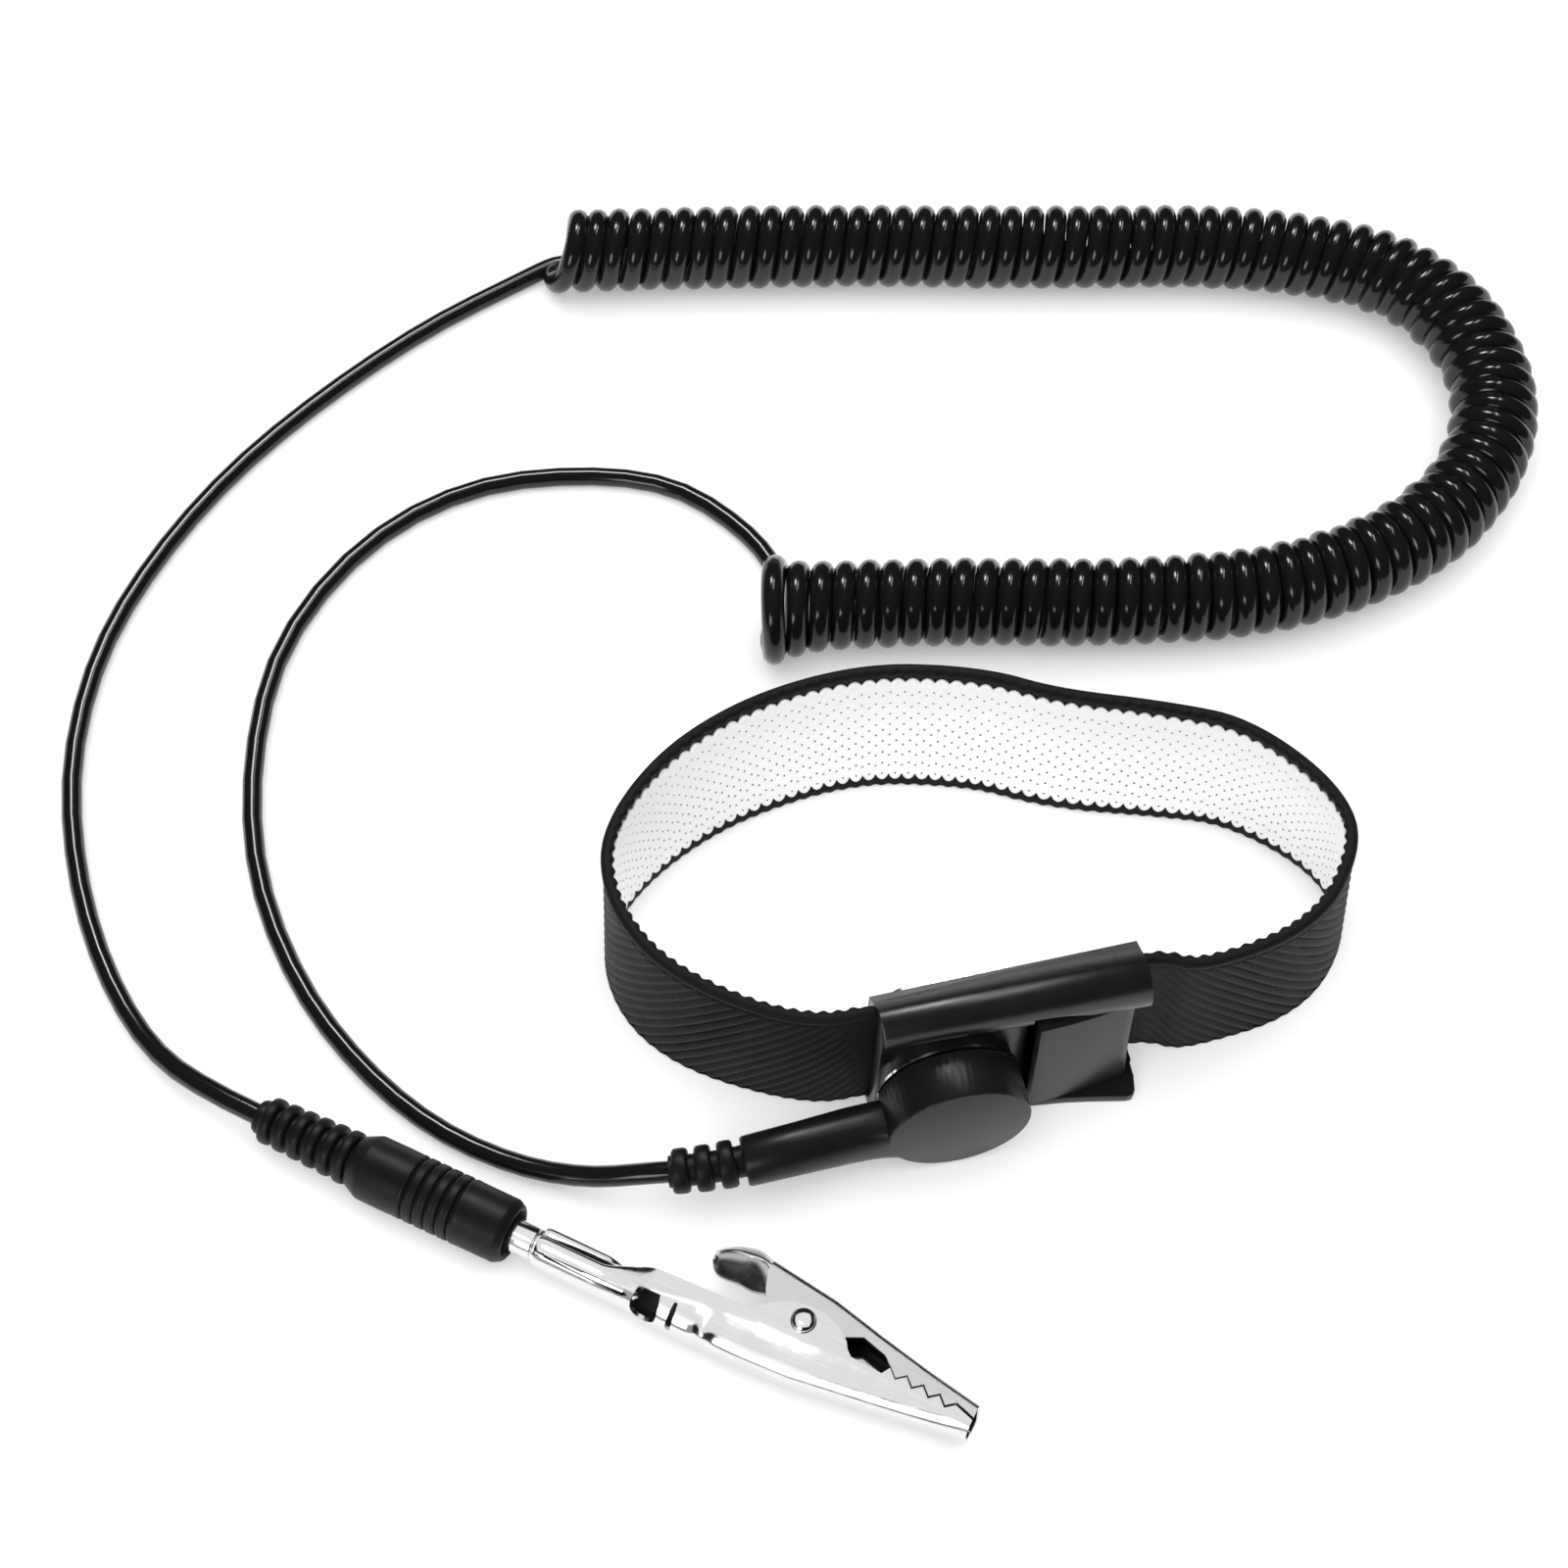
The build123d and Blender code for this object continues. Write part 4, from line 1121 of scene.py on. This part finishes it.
def make_clip():
    """The nickel-plated clip: barrel and fixed jaw, moving jaw with its thumb tab, and rivet."""
    stations = stations_of(3.4, 56.2, 0.4, lower_line[1:-1])
    lower = folded_sheet("clip_fixed_jaw", stations, lower_section)
    for middle, half_length, half_height in ((17.8, 1.7, 2.2), (21.1, 0.35, 1.5)):
        points, faces = turned([(-6, 1.0), (6, 1.0)], 40)
        place = [points[:, 1] * half_length + middle, points[:, 0] - 6.3, points[:, 2] * half_height + 2.0]
        combined(lower, new_object("window", on_clip(np.column_stack(place)), faces), "DIFFERENCE")
    slot_outline = [(3.0, -0.16), (14.6, -0.42), (15.6, 0.0), (14.6, 0.42), (3.0, 0.16)]
    sine, cosine = math.sin(BARREL_SLOT), math.cos(BARREL_SLOT)
    rings = []
    for out in (1.7, 4.0):
        ring = [(x, -out * sine + side * cosine, out * cosine + side * sine) for x, side in slot_outline]
        rings.append(np.array(ring))
    combined(lower, lofted("slot", rings, on_clip), "DIFFERENCE")
    dress(lower, "clip", satin, ["clip_lower_jaw"], sharp=42)
    paint_inside_shade(lower)

    stations = stations_of(28.6, 56.2, 0.4, upper_line[1:-1])
    upper = folded_sheet("clip_moving_jaw", stations, upper_section)
    dress(upper, "clip_jaw", brushed, ["clip_upper_jaw"], sharp=42)
    paint_inside_shade(upper)

    rows = []
    for k in range(25):
        t = k / 24
        along = 8.9 * t
        round_end = math.sqrt(max(0.0, 1 - max(0.0, (t - 0.4) / 0.6) ** 2.1))
        wide = (2.9 + 1.0 * smooth_step(t, 0.0, 0.45)) * round_end + 0.05
        row = []
        for j in range(17):
            across = -1 + 2 * j / 16
            depth = 1.2 + 1.3 * smooth_step(t, 0.0, 0.5)
            x = 30.4 - along * math.cos(math.radians(11))
            dents = 0.07 * math.cos(1.5 * along + 2.4 * across) * round_end
            rise = -0.05 * along + 2.0 * math.sin(math.pi * t) + dents
            y = 8.3 + rise - depth * across ** 2 * round_end + 0.45 * across
            row.append((x, y, wide * across))
        rows.append(row)
    rows = np.array(rows)
    tab = open_sheet("clip_thumb_tab", rows.reshape(-1, 3), grid_faces(25, 17))
    thickened(tab, 0)
    tab.modifiers.new("smooth", "SUBSURF").levels = 1
    applied(tab)
    dress(tab, "clip_jaw", brushed, (), sharp=50)

    dome = [(-3.95, 0.05), (-3.9, 0.8), (-3.7, 1.3), (-3.45, 1.5), (-3.45, 0.95), (3.45, 0.95), (3.45, 1.5)]
    dome += [(3.65, 1.48), (3.95, 1.3), (4.2, 0.9), (4.32, 0.45), (4.35, 0.05)]
    rivet = revolved("clip_rivet_domed", dome, 48, clip_point(RIVET_X, RIVET_Y, 0), UP, clip_x)
    dress(rivet, "clip", nickel, ["clip_rivet"], sharp=50)
    return lower, upper, tab, rivet


# ---------------------------------------------------------------- finishes shared by several pieces
def nickel_material(name, rough, brush, shade_of=1.0):
    """Bright nickel plate with faint handling marks, brushed along the clip where brush is above nought."""
    material = new_material(name, (0.86, 0.86, 0.865), rough, 1.0)
    tree, shader = nodes_of(material)
    place = tree.nodes.new("ShaderNodeTexCoord")
    turn = tree.nodes.new("ShaderNodeMapping")
    turn.inputs["Rotation"].default_value = (0, 0, -CLIP_ANGLE)
    stretch = tree.nodes.new("ShaderNodeMapping")
    stretch.inputs["Scale"].default_value = (60, 5200, 5200)
    lines = tree.nodes.new("ShaderNodeTexNoise")
    set_inputs(lines, {"Scale": 1.0, "Detail": 3.0})
    tree.links.new(place.outputs["Object"], turn.inputs["Vector"])
    tree.links.new(turn.outputs["Vector"], stretch.inputs["Vector"])
    tree.links.new(stretch.outputs["Vector"], lines.inputs["Vector"])
    marks = add_noise(tree, 420.0, 5.0)
    handled = add_ramp(tree, marks.outputs["Fac"], ((0.35, rough - 0.05), (0.75, rough + 0.1)))
    tree.links.new(handled, shader.inputs["Roughness"])
    dark, bright = [[c * shade_of for c in grey] for grey in ((0.66, 0.66, 0.665), (0.84, 0.84, 0.845))]
    shade = add_mix(tree, lines.outputs["Fac"], dark, bright)
    tree.links.new(shade.outputs["Result"], shader.inputs["Base Color"])
    add_bump(tree, shader, lines.outputs["Fac"], brush, 0.02)
    return material


nickel = nickel_material("nickel_plate", 0.12, 0.05)
satin = nickel_material("clip_metal", 0.16, 0.15, 0.95)
# darker copy of the nickel plate for the moving jaw and the tab: painted shade that sets them off from the
# fixed jaw; the brushing is the real finish
brushed = nickel_material("clip_metal_brushed_painted_shade", 0.24, 0.5, 0.84)
# near-black copy of the nickel plate for the jaws' inner faces: painted shade, the plating is the same inside
inside_painted_shade = nickel_material("clip_metal_inside_painted_shade", 0.55, 0.1, 0.06)
rubber = moulded("soft_rubber", (0.0035, 0.0035, 0.0037), 0.46, 3600.0, 0.014, gloss=0.25)

# finishes for the CAD nodes that show their own shape
cad_finishes = {
    "contact_plate": nickel_material("stainless_plate", 0.28, 0.2),
    "snap_stud": nickel,
    "stud_rivet": nickel,
    "snap_socket": nickel,
    "banana_spring": nickel,
    "lever_pin": nickel_material("steel_pin", 0.25, 0.1),
    "snap_ring_spring": nickel_material("spring_wire", 0.2, 0.1),
    "clip_spring": nickel_material("spring_leaf", 0.3, 0.2),
    "resistor_leads": nickel_material("tinned_wire", 0.35, 0.1),
    "resistor": moulded("resistor_body", (0.42, 0.3, 0.16), 0.5, 4000.0, 0.05),
}
for name, material in cad_finishes.items():
    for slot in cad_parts[name].material_slots:
        slot.material = material


def light_the_metal(pieces):
    """White cards overhead and in front that only the bright metal pieces mirror."""
    receivers = bpy.data.collections.new("bright_metal")
    for piece in pieces:
        receivers.objects.link(piece)
    for name, place, aim, size, energy in (
        ("overhead_card", (-0.1, 0.12, 0.75), (-0.1, 0.12, 0), (1.6, 1.65), 8.4),
        ("fold_card", (-0.24, -0.1, 0.7), (-0.02, -0.05, 0), (0.15, 0.15), 0.3),
        ("web_card", (-0.72, -0.83, 0.5), (-0.02, -0.05, 0), (1.0, 1.0), 1.1),
    ):
        make_light(name, place, aim, size, energy)
        scene.objects[name].light_linking.receiver_collection = receivers
    others = bpy.data.collections.new("all_but_bright_metal")
    for piece in pieces:
        others.objects.link(piece)
    for entry in others.collection_objects:
        entry.light_linking.link_state = "EXCLUDE"
    for name in ("key", "strip"):
        scene.objects[name].light_linking.receiver_collection = others


make_camera()
make_stage()
cord, cord_length = make_cord()
make_band()
make_lining()
make_buckle()
make_lever()
head = make_snap_head()
wrist_boot = make_wrist_boot()
banana_boot = make_banana_boot()
handle = make_handle()
collar = make_collar()
clip_pieces = make_clip()
light_the_metal([collar, *clip_pieces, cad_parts["snap_stud"]])
